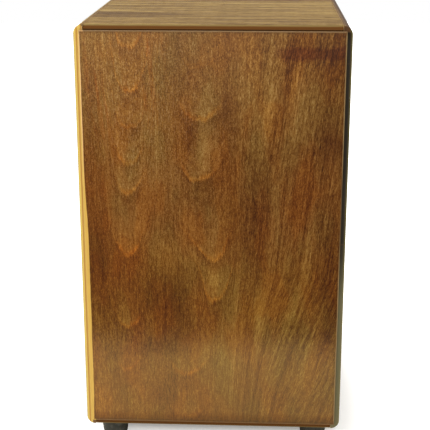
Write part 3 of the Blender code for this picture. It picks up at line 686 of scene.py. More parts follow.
def birch_back():
    """Rotary-cut birch: pale, with lazy ring bands, fine flecks and darker edges round the hole."""
    s = Shader("birch_back")
    wx = s.signed(s.stretched(0.010, 0.0, 0.006, 4.0, 3.0, 0.55), 34.0)
    gx = s.add(s.x, wx)
    bands = s.noise(s.vec(s.mul(gx, 0.065), 0.0, s.mul(s.z, 0.004)), 1.0, 3.0, 0.6)
    line = s.span(bands, 0.50, 0.60)
    fibre = s.stretched(0.8, 0.8, 0.03, 12.0, 3.0, 0.65, x=gx)
    fleck = s.stretched(1.1, 1.1, 0.16, 19.0, 2.0, 0.6, x=gx)
    dark_fleck = s.span(fleck, 0.66, 0.74)
    tone = s.add(0.55, s.signed(bands, 0.35), s.mul(line, -0.12), s.signed(fibre, 0.26), s.mul(dark_fleck, -0.16))
    colour = s.ramp(
        tone,
        [
            (0.1, linear((150, 110, 62))),
            (0.45, linear((190, 152, 98))),
            (0.7, linear((210, 176, 122))),
            (0.95, linear((224, 194, 144))),
        ],
    )
    # Laminations on the edge of the sound hole: they show where the surface faces the hole's axis.
    depth = s.sub(146.5, s.y)
    rim = s.span(depth, 0.35, 0.7)
    layer = s.ramp(
        s.mul(depth, 1 / 6.0),
        [
            (0.00, linear((176, 140, 88))),
            (0.26, linear((206, 172, 118))),
            (0.34, linear((128, 88, 48))),
            (0.62, linear((134, 92, 50))),
            (0.70, linear((208, 174, 120))),
            (1.00, linear((200, 166, 112))),
        ],
        "CONSTANT",
    )
    inside = s.span(depth, 5.8, 5.95)
    colour = s.mix(s.mul(rim, s.sub(1.0, inside)), colour, s.scaled(layer, s.add(1.0, s.signed(fibre, 0.2))))
    radius = s.math(
        "SQRT",
        s.add(s.math("POWER", s.math("ABSOLUTE", s.x), 2.0), s.math("POWER", s.math("ABSOLUTE", s.sub(s.z, 215.0)), 2.0)),
    )
    hand = s.span(s.add(radius, s.signed(s.stretched(0.03, 0.0, 0.03, 44.0, 3.0), 6.0)), 59.0, 72.0, 0.14, 0.0)
    colour = s.mix(hand, colour, linear((122, 84, 46)))
    normal = s.bump(s.add(s.signed(fibre, 0.6), s.mul(dark_fleck, -0.6)), 0.10, 0.5)
    rough = s.add(0.48, s.signed(fibre, 0.10))
    return s.done(colour, rough, normal=normal, Coat_Weight=0.10, Coat_Roughness=0.35)


def beech(name, axis):
    """Steamed beech: short dark ray flecks along the grain, and end grain across it."""
    s = Shader(name)
    scales = {"x": (0.02, 0.5, 0.5), "y": (0.5, 0.02, 0.5), "z": (0.5, 0.5, 0.02)}[axis]
    flecks = {"x": (0.30, 1.6, 1.6), "y": (1.6, 0.30, 1.6), "z": (1.6, 1.6, 0.30)}[axis]
    grain = s.stretched(*scales, 6.0, 3.0, 0.6)
    ray = s.span(s.stretched(*flecks, 16.0, 2.0, 0.5), 0.60, 0.66)
    tone = s.add(0.5, s.signed(grain, 0.45), s.mul(ray, -0.18))
    colour = s.ramp(
        tone,
        [
            (0.1, linear((150, 106, 66))),
            (0.5, linear((196, 154, 108))),
            (0.9, linear((218, 182, 138))),
        ],
    )
    normal = s.bump(s.add(s.signed(grain, 0.7), s.mul(ray, -0.5)), 0.08, 0.6)
    return s.done(colour, s.add(0.55, s.signed(grain, 0.12)), normal=normal)


# ------------------------------------------------------------------ rubber, metal, nylon
def rubber():
    s = Shader("foot_rubber")
    speck = s.noise(s.p, 1.6, 3.0, 0.7)
    patch = s.noise(s.p, 0.12, 3.0, 0.6)
    dust = s.span(s.add(patch, s.span(s.z, 0.0, 6.0, 0.18, 0.0)), 0.52, 0.72)
    colour = s.mix(s.mul(dust, 0.5), linear((46, 46, 41)), linear((92, 90, 80)))
    colour = s.scaled(colour, s.add(1.0, s.signed(speck, 0.35)))
    scuff = s.noise(s.vec(s.mul(s.x, 0.4), s.mul(s.y, 0.4), s.mul(s.z, 2.5)), 1.0, 3.0, 0.6)
    normal = s.bump(s.add(s.signed(speck, 0.6), s.signed(scuff, 0.4)), 0.12, 0.6)
    return s.done(colour, s.add(0.66, s.signed(patch, 0.2)), normal=normal, Specular_IOR_Level=0.4)


def metal(name, base, bright, rough, brushed=(0.6, 0.6, 0.6), spots=0.0, spot_colour=(120, 96, 70)):
    s = Shader(name)
    cloud = s.noise(s.p, 0.35, 3.0, 0.6)
    brush = s.noise(s.vec(s.mul(s.x, brushed[0]), s.mul(s.y, brushed[1]), s.mul(s.z, brushed[2])), 3.0, 3.0, 0.7)
    colour = s.mix(s.span(cloud, 0.3, 0.7), linear(base), linear(bright))
    if spots:
        mark = s.span(s.noise(s.p, 0.9, 3.0, 0.7), 0.60, 0.72)
        colour = s.mix(s.mul(mark, spots), colour, linear(spot_colour))
    normal = s.bump(s.signed(brush), 0.03, 0.5)
    return s.done(
        colour, s.add(rough, s.signed(cloud, 0.12), s.signed(brush, 0.10)), 1.0, normal=normal
    )


def nylon():
    s = Shader("black_nylon")
    grain = s.noise(s.p, 2.4, 3.0, 0.6)
    cloud = s.noise(s.p, 0.2, 2.0)
    colour = s.mix(s.span(cloud, 0.35, 0.7), linear((30, 30, 32)), linear((44, 44, 46)))
    return s.done(
        colour, s.add(0.46, s.signed(grain, 0.12)), normal=s.bump(s.signed(grain), 0.05, 0.6)
    )


WALNUT = walnut_face()
LEFT = side_wood("side_laminate_left", True)
RIGHT = side_wood("side_laminate_right", False)
SEAT = level_panel("seat_oak", True)
BASE = level_panel("base_oak", False)
BACK = birch_back()
BEECH_X = beech("beech_along_x", "x")
BEECH_Y = beech("beech_along_y", "y")
BEECH_Z = beech("beech_along_z", "z")
RUBBER = rubber()
ZINC = metal("zinc_steel", (150, 152, 152), (196, 198, 196), 0.34, spots=0.25)
BLACK_STEEL = metal("black_steel", (34, 34, 36), (62, 62, 64), 0.38, spots=0.3, spot_colour=(96, 92, 88))
SPRING = metal("spring_steel", (170, 172, 174), (212, 214, 214), 0.22)
NYLON = nylon()


# ------------------------------------------------------------------ mesh helpers
def piece(name, bm, mat, body, nodes, matrix=None, flat=False, sharp=35.0):
    """Turns a closed bmesh into a piece that stands for CAD nodes and rides on a body."""
    bmesh.ops.recalc_face_normals(bm, faces=bm.faces)
    mesh = bpy.data.meshes.new(name)
    bm.to_mesh(mesh)
    bm.free()
    mesh.materials.append(mat)
    mesh.shade_smooth()
    mesh.set_sharp_from_angle(angle=math.radians(sharp))
    obj = bpy.data.objects.new(name, mesh)
    bpy.context.scene.collection.objects.link(obj)
    if matrix is not None:
        obj.matrix_world = matrix
    if flat:
        weighted = obj.modifiers.new("Weighted", "WEIGHTED_NORMAL")
        weighted.keep_sharp = True
        weighted.mode = "FACE_AREA"
        weighted.weight = 100
    if body:
        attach(obj, body)
        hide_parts(*nodes)
    return obj


def carve(obj, cutters, sharp=35.0):
    """Cuts closed bmeshes out of an object and keeps the resulting mesh."""
    made = []
    for i, bm in enumerate(cutters):
        bmesh.ops.recalc_face_normals(bm, faces=bm.faces)
        mesh = bpy.data.meshes.new("cutter")
        bm.to_mesh(mesh)
        bm.free()
        cutter = bpy.data.objects.new("cutter", mesh)
        cutter.hide_render = True
        bpy.context.scene.collection.objects.link(cutter)
        m = obj.modifiers.new("Cut", "BOOLEAN")
        m.operation = "DIFFERENCE"
        m.solver = "EXACT"
        m.object = cutter
        made.append(cutter)
    keep = [m for m in obj.modifiers if m.type == "WEIGHTED_NORMAL"]
    for m in keep:
        m.show_viewport = False
    bpy.context.view_layer.update()
    graph = bpy.context.evaluated_depsgraph_get()
    mesh = bpy.data.meshes.new_from_object(obj.evaluated_get(graph))
    for m in [m for m in obj.modifiers if m.type == "BOOLEAN"]:
        obj.modifiers.remove(m)
    for m in keep:
        m.show_viewport = True
    old = obj.data
    obj.data = mesh
    bpy.data.meshes.remove(old)
    for cutter in made:
        data = cutter.data
        bpy.data.objects.remove(cutter)
        bpy.data.meshes.remove(data)
    mesh.shade_smooth()
    mesh.set_sharp_from_angle(angle=math.radians(sharp))
    return obj


def box_mesh(low, high):
    bm = bmesh.new()
    bmesh.ops.create_cube(bm, size=1.0)
    low, high = Vector(low), Vector(high)
    size, middle = high - low, (high + low) / 2
    for v in bm.verts:
        v.co = Vector((v.co.x * size.x, v.co.y * size.y, v.co.z * size.z)) + middle
    return bm


def ease(bm, offset, segments, wanted, profile=0.5):
    edges = [
        e
        for e in bm.edges
        if wanted((e.verts[0].co + e.verts[1].co) / 2, (e.verts[1].co - e.verts[0].co).normalized())
    ]
    bmesh.ops.bevel(
        bm, geom=edges, offset=offset, segments=segments, profile=profile, affect="EDGES", clamp_overlap=True
    )
    return bm


def revolve(profile, steps, matrix=None, thread=None, shape=None):
    """A closed solid turned about Z from (radius, height) points. thread = (z0, z1, pitch, depth) raises a helix;
    shape(radius, height, angle) changes the radius round the turn."""
    bm = bmesh.new()
    rings = []
    for r, z in profile:
        if r <= 1e-9:
            rings.append([bm.verts.new((0, 0, z))])
            continue
        ring = []
        for i in range(steps):
            a = 2 * math.pi * i / steps
            rr = r
            if thread and min(thread[0], thread[1]) - 1e-9 <= z <= max(thread[0], thread[1]) + 1e-9:
                phase = (z / thread[2] + a / (2 * math.pi)) % 1.0
                rr = r + thread[3] * max(0.0, 1 - abs(phase - 0.5) * 3.2)
            if shape:
                rr = shape(r, z, a)
            ring.append(bm.verts.new((rr * math.cos(a), rr * math.sin(a), z)))
        rings.append(ring)
    pairs = list(zip(rings, rings[1:]))
    if profile[0][0] > 1e-9 and profile[-1][0] > 1e-9:
        pairs.append((rings[-1], rings[0]))
    for a, b in pairs:
        for i in range(steps):
            j = (i + 1) % steps
            if len(a) == 1 and len(b) == 1:
                continue
            if len(a) == 1:
                bm.faces.new((a[0], b[j], b[i]))
            elif len(b) == 1:
                bm.faces.new((a[i], a[j], b[0]))
            else:
                bm.faces.new((a[i], a[j], b[j], b[i]))
    if matrix is not None:
        bmesh.ops.transform(bm, matrix=matrix, verts=bm.verts)
    return bm


def arc(cx, cz, radius, start, end, steps):
    return [
        (
            cx + radius * math.cos(math.radians(start + (end - start) * i / steps)),
            cz + radius * math.sin(math.radians(start + (end - start) * i / steps)),
        )
        for i in range(steps + 1)
    ]


def toward(direction):
    return Vector((0, 0, 1)).rotation_difference(Vector(direction)).to_matrix().to_4x4()


def rod(centre, direction, radius, length, steps=32):
    return revolve(
        [(0, length / 2), (radius, length / 2), (radius, -length / 2), (0, -length / 2)],
        steps,
        Matrix.Translation(centre) @ toward(direction),
    )


# ------------------------------------------------------------------ dimensions, from the frame
tapa_low, tapa_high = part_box("tapa")
ls_low, ls_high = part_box("left_side_panel")
seat_low, seat_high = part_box("seat_panel")
base_low, base_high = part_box("base_panel")
rear_low, rear_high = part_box("rear_panel")
TOP, FOOT_H = cad_high.z, ls_low.z
OUTER = cad_high.x
IN_X = -ls_high.x
CASE_FRONT, CASE_REAR = ls_low.y, ls_high.y
CORNER_R, RIM_R = 10 * MM, 5.7 * MM


# ------------------------------------------------------------------ case
def side_panel(name, side, node, mat):
    outline = [(IN_X, TOP), (IN_X, FOOT_H)]
    outline += arc(OUTER - CORNER_R, FOOT_H + CORNER_R, CORNER_R, -90, 0, 18)
    outline += arc(OUTER - CORNER_R, TOP - CORNER_R, CORNER_R, 0, 90, 18)
    bm = bmesh.new()
    face = bm.faces.new([bm.verts.new((side * x, CASE_FRONT, z)) for x, z in outline])
    grown = bmesh.ops.extrude_face_region(bm, geom=[face])
    bmesh.ops.translate(
        bm,
        vec=(0, CASE_REAR - CASE_FRONT, 0),
        verts=[v for v in grown["geom"] if isinstance(v, bmesh.types.BMVert)],
    )
    bmesh.ops.recalc_face_normals(bm, faces=bm.faces)
    inner = side * IN_X
    ease(bm, RIM_R, 10, lambda mid, along: abs(along.y) < 0.01 and abs(mid.x - inner) > 1e-5)
    ease(
        bm,
        0.25 * MM,
        2,
        lambda mid, along: abs(mid.x - inner) < 1e-5 and abs(along.z) > 0.99,
    )
    return piece(name, bm, mat, "case", [node], flat=True)


side_panel("side_left", -1, "left_side_panel", LEFT)
side_panel("side_right", 1, "right_side_panel", RIGHT)


def level(name, node, low, high, mat, slot, sign):
    bm = box_mesh(low, high)
    middle = (Vector(low) + Vector(high)) / 2
    ease(
        bm,
        RIM_R if sign > 0 else 1.8 * MM,
        10,
        lambda mid, along: abs(along.x) > 0.99 and sign * (mid.z - middle.z) > 0.003,
    )
    ease(
        bm,
        0.25 * MM,
        2,
        lambda mid, along: abs(along.x) < 0.99 and abs(abs(mid.x) - high[0]) < 1e-5,
    )
    return piece(name, bm, mat, "case", [node], flat=True)


level("seat", "seat_panel", seat_low, seat_high, SEAT, "oak_veneer", 1)
level("base", "base_panel", base_low, base_high, BASE, "base_ply", -1)

bm = box_mesh(tapa_low, tapa_high)
ease(
    bm,
    0.6 * MM,
    4,
    lambda mid, along: abs(along.y) > 0.99,
)
ease(
    bm,
    1.5 * MM,
    8,
    lambda mid, along: abs(along.y) < 0.01 and mid.y < tapa_low.y + 0.0002,
)
piece("tapa_face", bm, WALNUT, "case", ["tapa"], flat=True)

# Rear panel with the sound hole.
HOLE_R, HOLE_Z = 57.5 * MM, 215 * MM
bm = box_mesh(rear_low, rear_high)
ease(bm, 0.4 * MM, 2, lambda mid, along: abs(along.y) < 0.01 and mid.y > rear_high.y - 1e-5)
rear = piece("rear_board", bm, BACK, "case", ["rear_panel"], flat=True)
thick = rear_high.y - rear_low.y
profile = [(0, thick / 2 + 2 * MM), (HOLE_R + 3.5 * MM, thick / 2 + 2 * MM), (HOLE_R + 1.6 * MM, thick / 2)]
profile += [
    (HOLE_R + 1.6 * MM - 1.6 * MM * math.sin(math.radians(a)), thick / 2 - 1.6 * MM * (1 - math.cos(math.radians(a))))
    for a in range(10, 91, 10)
]
profile += [(HOLE_R, -thick / 2 - 2 * MM), (0, -thick / 2 - 2 * MM)]
turn_back = Matrix.Translation((0, (rear_low.y + rear_high.y) / 2, HOLE_Z)) @ Euler((-math.pi / 2, 0, 0)).to_matrix().to_4x4()
cutters = [revolve(profile, 128, turn_back)]
screw_words = [
    "upper_left", "middle_left", "lower_left", "upper_right", "middle_right", "lower_right", "top", "bottom",
]
for word in screw_words:
    lo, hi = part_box("rear_screw_" + word)
    spot = (lo + hi) / 2
    cutters.append(rod((spot.x, rear_high.y - 3 * MM, spot.z), (0, 1, 0), 2.3 * MM, 12 * MM, 24))
carve(rear, cutters)


# ------------------------------------------------------------------ screws
def pan_screw(name, node, mat, body, matrix, head_r, head_h, shank_r, length, pitch=1.4 * MM):
    """Pan head up, its underside at z = 0, with a cross recess and a cut thread."""
    profile = [(0, head_h)]
    profile += [
        (head_r * 0.98 * math.sin(math.radians(a)) ** 0.85, head_h * (0.30 + 0.70 * math.cos(math.radians(a)) ** 0.9))
        for a in (18, 34, 48, 60, 72, 82, 89)
    ]
    profile += [(head_r, head_h * 0.16), (head_r * 0.97, 0), (shank_r * 0.98, 0)]
    root = shank_r * 0.74
    profile.append((shank_r * 0.9, -0.6 * MM))
    z = -1.0 * MM
    tip = -length * 0.86
    while z > tip:
        profile.append((root, z))
        z -= pitch / 6
    profile += [(root * 0.6, -length * 0.94), (0, -length)]
    bm = revolve(profile, 32, None, (-1.0 * MM, tip, pitch, shank_r - root))
    obj = piece(name, bm, mat, None, (), sharp=38.0)
    cutters = []
    for k in (0, 1):
        b = box_mesh((-0.42 * head_r, -0.115 * head_r, 0.38 * head_h), (0.42 * head_r, 0.115 * head_r, 1.5 * head_h))
        for v in b.verts:
            if v.co.z < head_h:
                v.co.x *= 0.55
        bmesh.ops.rotate(b, cent=(0, 0, 0), matrix=Matrix.Rotation(k * math.pi / 2 + 0.5, 3, "Z"), verts=b.verts)
        cutters.append(b)
    carve(obj, cutters, 38.0)
    obj.matrix_world = matrix
    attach(obj, body)
    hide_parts(node)
    return obj


for i, word in enumerate(screw_words):
    lo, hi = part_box("rear_screw_" + word)
    spot = (lo + hi) / 2
    # the underside of the head stands one gap off the panel
    matrix = (
        Matrix.Translation((spot.x, rear_high.y + GAP, spot.z))
        @ Euler((-math.pi / 2, 0, 0)).to_matrix().to_4x4()
        @ Matrix.Rotation(0.9 * i, 4, "Z")
    )
    pan_screw(
        "back_screw_" + word, "rear_screw_" + word, BLACK_STEEL, "case",
        matrix, 4 * MM, 2.4 * MM, 2 * MM, 17 * MM,
    )

# ------------------------------------------------------------------ feet
RECESS_R, RECESS_H, FOOT_FLAT = 8 * MM, 12 * MM, 11 * MM
for word in ("front_left", "front_right", "rear_left", "rear_right"):
    lo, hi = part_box("foot_" + word)
    c, radius, top = (lo + hi) / 2, (hi.x - lo.x) / 2, hi.z
    profile = [(2.5 * MM, top)]
    profile += [(radius - 0.8 * MM + 0.8 * MM * math.sin(math.radians(a)), top - 0.8 * MM + 0.8 * MM * math.cos(math.radians(a))) for a in (0, 22, 45, 68, 90)]
    profile += [(radius - 0.15 * MM, top * 0.80), (radius - 0.4 * MM, top * 0.53)]
    profile += [
        (
            FOOT_FLAT + (radius - 0.9 * MM - FOOT_FLAT) * math.cos(math.radians(a)),
            9 * MM - 9 * MM * math.sin(math.radians(a)),
        )
        for a in range(0, 91, 9)
    ]
    profile += [(RECESS_R + 0.5 * MM, 0.0), (RECESS_R + 0.15 * MM, 0.15 * MM), (RECESS_R, 0.5 * MM)]
    profile += [(RECESS_R, RECESS_H), (2.5 * MM, RECESS_H)]
    piece(
        "rubber_foot_" + word, revolve(profile, 96, Matrix.Translation((c.x, c.y, 0))), RUBBER, "case", ["foot_" + word],
    )
    lo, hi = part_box("foot_washer_" + word)
    w_r, w0, w1 = (hi.x - lo.x) / 2, lo.z, hi.z
    e = 0.2 * MM
    piece(
        "foot_ring_" + word,
        revolve(
            [(2.3 * MM, w1), (w_r - e, w1), (w_r, w1 - e), (w_r, w0 + e), (w_r - e, w0), (2.3 * MM + e, w0), (2.3 * MM, w0 + e)],
            64,
            Matrix.Translation((c.x, c.y, 0)),
        ),
        ZINC, "case", ["foot_washer_" + word],
    )
    lo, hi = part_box("foot_screw_" + word)
    under = w0 - GAP
    matrix = Matrix.Translation((c.x, c.y, under)) @ Euler((math.pi, 0, 0.4)).to_matrix().to_4x4()
    pan_screw(
        "foot_bolt_" + word, "foot_screw_" + word, ZINC, "case", matrix,
        4.2 * MM, 2.6 * MM, 2 * MM, hi.z - under,
    )

# ------------------------------------------------------------------ sticks inside the case
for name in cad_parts:
    if not name.startswith(("rear_cleat", "corner_batten")):
        continue
    lo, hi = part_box(name)
    bm = ease(box_mesh(lo, hi), 0.9 * MM, 4, lambda c, d: True)
    long_x, long_y = hi.x - lo.x > 60 * MM, hi.y - lo.y > 60 * MM
    wood = BEECH_X if long_x else BEECH_Y if long_y else BEECH_Z
    piece("stick_" + name, bm, wood, "case", [name], flat=True)

# ------------------------------------------------------------------ the snare, laid out in the bar's own frame
BAR_Y, BAR_Z = -125 * MM, 365 * MM
BAR_R, BAR_FLAT, BAR_END = 10 * MM, 8 * MM, 120.5 * MM
PIN_R, PIN_IN, PIN_OUT = 4 * MM, 101.5 * MM, 137.5 * MM
BLOCK_IN, BLOCK_H = 121.7 * MM, 32 * MM
STRAND_W, STRAND_X, STRAND_TOP, STRAND_T = 42 * MM, 62 * MM, 104 * MM, 1.2 * MM
CLAMP_W, CLAMP_T, CLAMP_SCREW_X = 56 * MM, 1.5 * MM, 24.5 * MM
_reach = (-150 * MM + 3 * MM + 1.3 * GAP) - BAR_Y
_front = -(BAR_FLAT + GAP + STRAND_T)
LEAN = abs(math.atan2(STRAND_TOP, -_front) - math.acos(-_reach / math.hypot(STRAND_TOP, _front)))
PIVOT = Matrix.Translation((0, BAR_Y, BAR_Z)) @ Matrix.Rotation(LEAN, 4, "X")
LEVER_DIR = Vector((0, math.sin(math.radians(25)), -math.cos(math.radians(25))))
LEVER_R, LEVER_IN, LEVER_OUT = 3 * MM, 2 * MM, 62 * MM
SCREW_R, SCREW_L = 1.5 * MM, 11 * MM
clamp_back = -(BAR_FLAT + 2 * GAP + STRAND_T)
clamp_front = clamp_back - CLAMP_T
head_seat = clamp_front - GAP
clamp_spots = [
    (f"{word}_{end}", s * STRAND_X + e * CLAMP_SCREW_X)
    for word, s in (("left", -1), ("right", 1))
    for end, e in (("outer", s), ("inner", -s))
]

# The bar: a dowel planed flat in front, its ends lightly chamfered.
flat_deg = math.degrees(math.acos(BAR_FLAT / BAR_R))
bm = bmesh.new()
rings = []
for x, r in (
    (-BAR_END, -0.7), (-BAR_END + 0.3 * MM, -0.25), (-BAR_END + 0.9 * MM, 0.0), (-60 * MM, 0.0), (0.0, 0.0),
    (60 * MM, 0.0), (BAR_END - 0.9 * MM, 0.0), (BAR_END - 0.3 * MM, -0.25), (BAR_END, -0.7),
):
    ring = []
    for i in range(73):
        a = math.radians(flat_deg + (360 - 2 * flat_deg) * i / 72)
        ring.append(bm.verts.new((x, -(BAR_R + r * MM) * math.cos(a), (BAR_R + r * MM) * math.sin(a))))
    for i in range(1, 12):
        f = i / 12
        ring.append(bm.verts.new((x, *(ring[72].co.yz * (1 - f) + ring[0].co.yz * f))))
    rings.append(ring)
for a, b in zip(rings, rings[1:]):
    for i in range(len(a)):
        j = (i + 1) % len(a)
        bm.faces.new((a[i], a[j], b[j], b[i]))
bm.faces.new(rings[0])
bm.faces.new(rings[-1][::-1])
bar = piece("bar_dowel", bm, BEECH_X, None, (), flat=True)
cutters = [rod((s * (BAR_END - 5 * MM), 0, 0), (1, 0, 0), PIN_R + GAP, 48 * MM, 40) for s in (-1, 1)]
cutters.append(rod(LEVER_DIR * 11 * MM, LEVER_DIR, LEVER_R + GAP, 20 * MM, 40))
cutters += [
    rod((x, head_seat + (SCREW_L + 0.6 * MM) / 2, 0), (0, 1, 0), SCREW_R + GAP, SCREW_L + 0.6 * MM, 32)
    for _, x in clamp_spots
]
carve(bar, cutters)
bar.matrix_world = PIVOT
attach(bar, "snare_bar")
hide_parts("snare_bar")


def round_rod(radius, length, edge, drilled):
    """Points of a turned rod from -length/2 to length/2 with rolled edges and centre-drilled ends."""
    h = length / 2
    top = [(0, h - drilled), (drilled * 0.9, h)] if drilled else [(0, h)]
    top += [(radius - edge + edge * math.sin(math.radians(a)), h - edge + edge * math.cos(math.radians(a))) for a in (0, 30, 60, 90)]
    return top + [(r, -z) for r, z in reversed(top)]


for word, s in (("left", -1), ("right", 1)):
    piece(
        "pivot_pin_" + word,
        revolve(round_rod(PIN_R, PIN_OUT - PIN_IN, 0.6 * MM, 0.9 * MM), 48),
        ZINC, "snare_bar", ["snare_pin_" + word],
        PIVOT @ Matrix.Translation((s * (PIN_IN + PIN_OUT) / 2, 0, 0)) @ Matrix.Rotation(math.pi / 2, 4, "Y"),
    )


def coil(bm, x, z0, z1, radius, wire, pitch, phase, per_turn=10, sides=5):
    """One spring-wire coil about an upright axis, its ends capped."""
    turns = (z1 - z0) / pitch
    last = None
    count = int(turns * per_turn)
    for i in range(count + 1):
        f = i / count
        a = 2 * math.pi * turns * f + phase
        centre = Vector((x + radius * math.cos(a), radius * math.sin(a), z0 + (z1 - z0) * f))
        along = Vector((-radius * math.sin(a), radius * math.cos(a), pitch / (2 * math.pi))).normalized()
        out = Vector((math.cos(a), math.sin(a), 0))
        up = along.cross(out)
        ring = [
            bm.verts.new(centre + wire * (math.cos(2 * math.pi * k / sides) * out + math.sin(2 * math.pi * k / sides) * up))
            for k in range(sides)
        ]
        if last is None:
            bm.faces.new(ring)
        else:
            for k in range(sides):
                m = (k + 1) % sides
                bm.faces.new((last[k], last[m], ring[m], ring[k]))
        last = ring
    bm.faces.new(last[::-1])


def merged(parts):
    """Several bmeshes as one."""
    whole = bmesh.new()
    for part in parts:
        mesh = bpy.data.meshes.new("part")
        bmesh.ops.recalc_face_normals(part, faces=part.faces)
        part.to_mesh(mesh)
        part.free()
        whole.from_mesh(mesh)
        bpy.data.meshes.remove(mesh)
    return whole


WIRES = 10
for word, s in (("left", -1), ("right", 1)):
    parts = []
    springs = bmesh.new()
    for i in range(WIRES):
        x = -STRAND_W / 2 + 1.6 * MM + (STRAND_W - 3.2 * MM) * i / (WIRES - 1)
        coil(springs, x, 5.5 * MM, STRAND_TOP - 2.2 * MM, 0.42 * MM, 0.17 * MM, 1.0 * MM, 2.1 * i, 8, 4)
    parts.append(springs)
    for z0, z1 in ((-5 * MM, 9 * MM), (STRAND_TOP - 6 * MM, STRAND_TOP)):
        plate = box_mesh((-STRAND_W / 2, 0.05 * MM, z0), (STRAND_W / 2, 0.6 * MM, z1))
        ease(plate, 1.4 * MM, 5, lambda c, d: abs(d.y) > 0.9)
        ease(plate, 0.12 * MM, 2, lambda c, d: abs(d.y) < 0.1)
        parts.append(plate)
        for i in range(WIRES):
            x = -STRAND_W / 2 + 1.6 * MM + (STRAND_W - 3.2 * MM) * i / (WIRES - 1)
            zc = z1 - 2.2 * MM if z0 < 0 else z0 + 2.2 * MM
            bead = bmesh.new()
            bmesh.ops.create_uvsphere(bead, u_segments=12, v_segments=8, radius=0.72 * MM)
            for v in bead.verts:
                v.co = Vector((x + v.co.x, max(-0.58 * MM, min(0.58 * MM, v.co.y)), zc + v.co.z * 1.9))
            parts.append(bead)
    piece(
        "wire_strand_" + word, merged(parts), SPRING, "snare_bar", ["snare_strand_" + word],
        PIVOT @ Matrix.Translation((s * STRAND_X, -(BAR_FLAT + GAP + STRAND_T / 2), 0)),
    )
    bm = box_mesh((-CLAMP_W / 2, clamp_front, -4.5 * MM), (CLAMP_W / 2, clamp_back, 4.5 * MM))
    ease(bm, 2.2 * MM, 6, lambda c, d: abs(d.y) > 0.9)
    ease(bm, 0.25 * MM, 3, lambda c, d: abs(d.y) < 0.1)
    strip = piece("clamp_strip_" + word, bm, ZINC, None, (), flat=True)
    carve(
        strip,
        [rod((e * CLAMP_SCREW_X, (clamp_front + clamp_back) / 2, 0), (0, 1, 0), SCREW_R + GAP, 6 * MM, 32) for e in (-1, 1)],
    )
    strip.matrix_world = PIVOT @ Matrix.Translation((s * STRAND_X, 0, 0))
    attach(strip, "snare_bar")
    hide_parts("strand_clamp_" + word)
for i, (word, x) in enumerate(clamp_spots):
    pan_screw(
        "clamp_bolt_" + word, "strand_screw_" + word, BLACK_STEEL, "snare_bar",
        PIVOT @ Matrix.Translation((x, head_seat, 0)) @ Matrix.Rotation(math.pi / 2, 4, "X") @ Matrix.Rotation(0.7 * i, 4, "Z"),
        3.2 * MM, 1.8 * MM, SCREW_R, SCREW_L, 1.1 * MM,
    )

# The lever and its fluted grip.
lever_turn = PIVOT @ toward(LEVER_DIR)
profile = [(0, LEVER_OUT)]
profile += [
    (LEVER_R - 0.6 * MM + 0.6 * MM * math.sin(math.radians(a)), LEVER_OUT - 0.6 * MM + 0.6 * MM * math.cos(math.radians(a)))
    for a in (0, 30, 60, 90)
]
profile += [(LEVER_R, 40 * MM), (LEVER_R, 20 * MM), (LEVER_R, LEVER_IN + 0.3 * MM), (LEVER_R - 0.3 * MM, LEVER_IN), (0, LEVER_IN)]
piece("lever_rod", revolve(profile, 48), ZINC, "snare_bar", ["snare_lever"], lever_turn)
GRIP_R = 7.5 * MM
grip_low, grip_high = LEVER_OUT - 16 * MM, LEVER_OUT + 9 * MM
profile = [(0, grip_high)]
profile += [
    (GRIP_R * math.cos(math.radians(a)) ** 0.8, grip_high - GRIP_R + GRIP_R * math.sin(math.radians(a)))
    for a in (84, 77, 70, 62, 54, 46, 38, 30, 22, 14, 7, 0)
]
low_r = [(GRIP_R * 0.985, 5.2), (GRIP_R * 0.965, 8.2), (GRIP_R * 0.94, 11.2), (GRIP_R * 0.915, 14.0)]
profile += [(r, grip_high - GRIP_R - d * 0.9 * MM) for r, d in low_r]
profile += [(GRIP_R * 0.88, grip_low + 1.6 * MM), (GRIP_R * 0.82, grip_low + 0.5 * MM), (GRIP_R * 0.75, grip_low)]
profile += [(LEVER_R + GAP, grip_low), (LEVER_R + GAP, LEVER_OUT + GAP), (0, LEVER_OUT + GAP)]


def fluted(r, z, a):
    if r < GRIP_R * 0.8:
        return r
    ends = max(0.0, min(1.0, (z - grip_low - 2 * MM) / (3 * MM), (grip_high - 6 * MM - z) / (4 * MM)))
    return r - 0.55 * MM * ends * (0.5 + 0.5 * math.cos(14 * a)) ** 2


piece("lever_knob", revolve(profile, 112, shape=fluted), NYLON, "snare_bar", ["lever_grip"], lever_turn)

# The blocks that hold the pins, and the pinch clamp in the right-hand one.
THUMB_X, THUMB_Y, THUMB_R = (BLOCK_IN + IN_X) / 2, -97 * MM, 2.5 * MM
for word, lo, hi in (
    ("left", (-IN_X + GAP, BAR_Y - 16 * MM, BAR_Z - BLOCK_H / 2), (-BLOCK_IN, BAR_Y + 16 * MM, BAR_Z + BLOCK_H / 2)),
    ("right", (BLOCK_IN, BAR_Y - 16 * MM, BAR_Z - BLOCK_H / 2), (IN_X - GAP, BAR_Y + 40 * MM, BAR_Z + BLOCK_H / 2)),
):
    s = -1 if word == "left" else 1
    held = piece("block_" + word, ease(box_mesh(lo, hi), 1.2 * MM, 4, lambda c, d: True), BEECH_Y, None, (), flat=True)
    cutters = [rod((s * (BLOCK_IN + 8 * MM), BAR_Y, BAR_Z), (1, 0, 0), PIN_R + GAP, 26 * MM, 48)]
    if word == "right":
        cutters.append(box_mesh((BLOCK_IN - 2 * MM, BAR_Y + PIN_R - 0.5 * MM, BAR_Z - 1 * MM), (IN_X + 2 * MM, BAR_Y + 42 * MM, BAR_Z + 1 * MM)))
        cutters.append(rod((THUMB_X, THUMB_Y, BAR_Z), (0, 0, 1), THUMB_R + GAP, BLOCK_H + 14 * MM, 40))
    carve(held, cutters)
    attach(held, "case")
    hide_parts("pivot_block_" + word)
under = BAR_Z - BLOCK_H / 2
e = 0.2 * MM
bore = THUMB_R + GAP
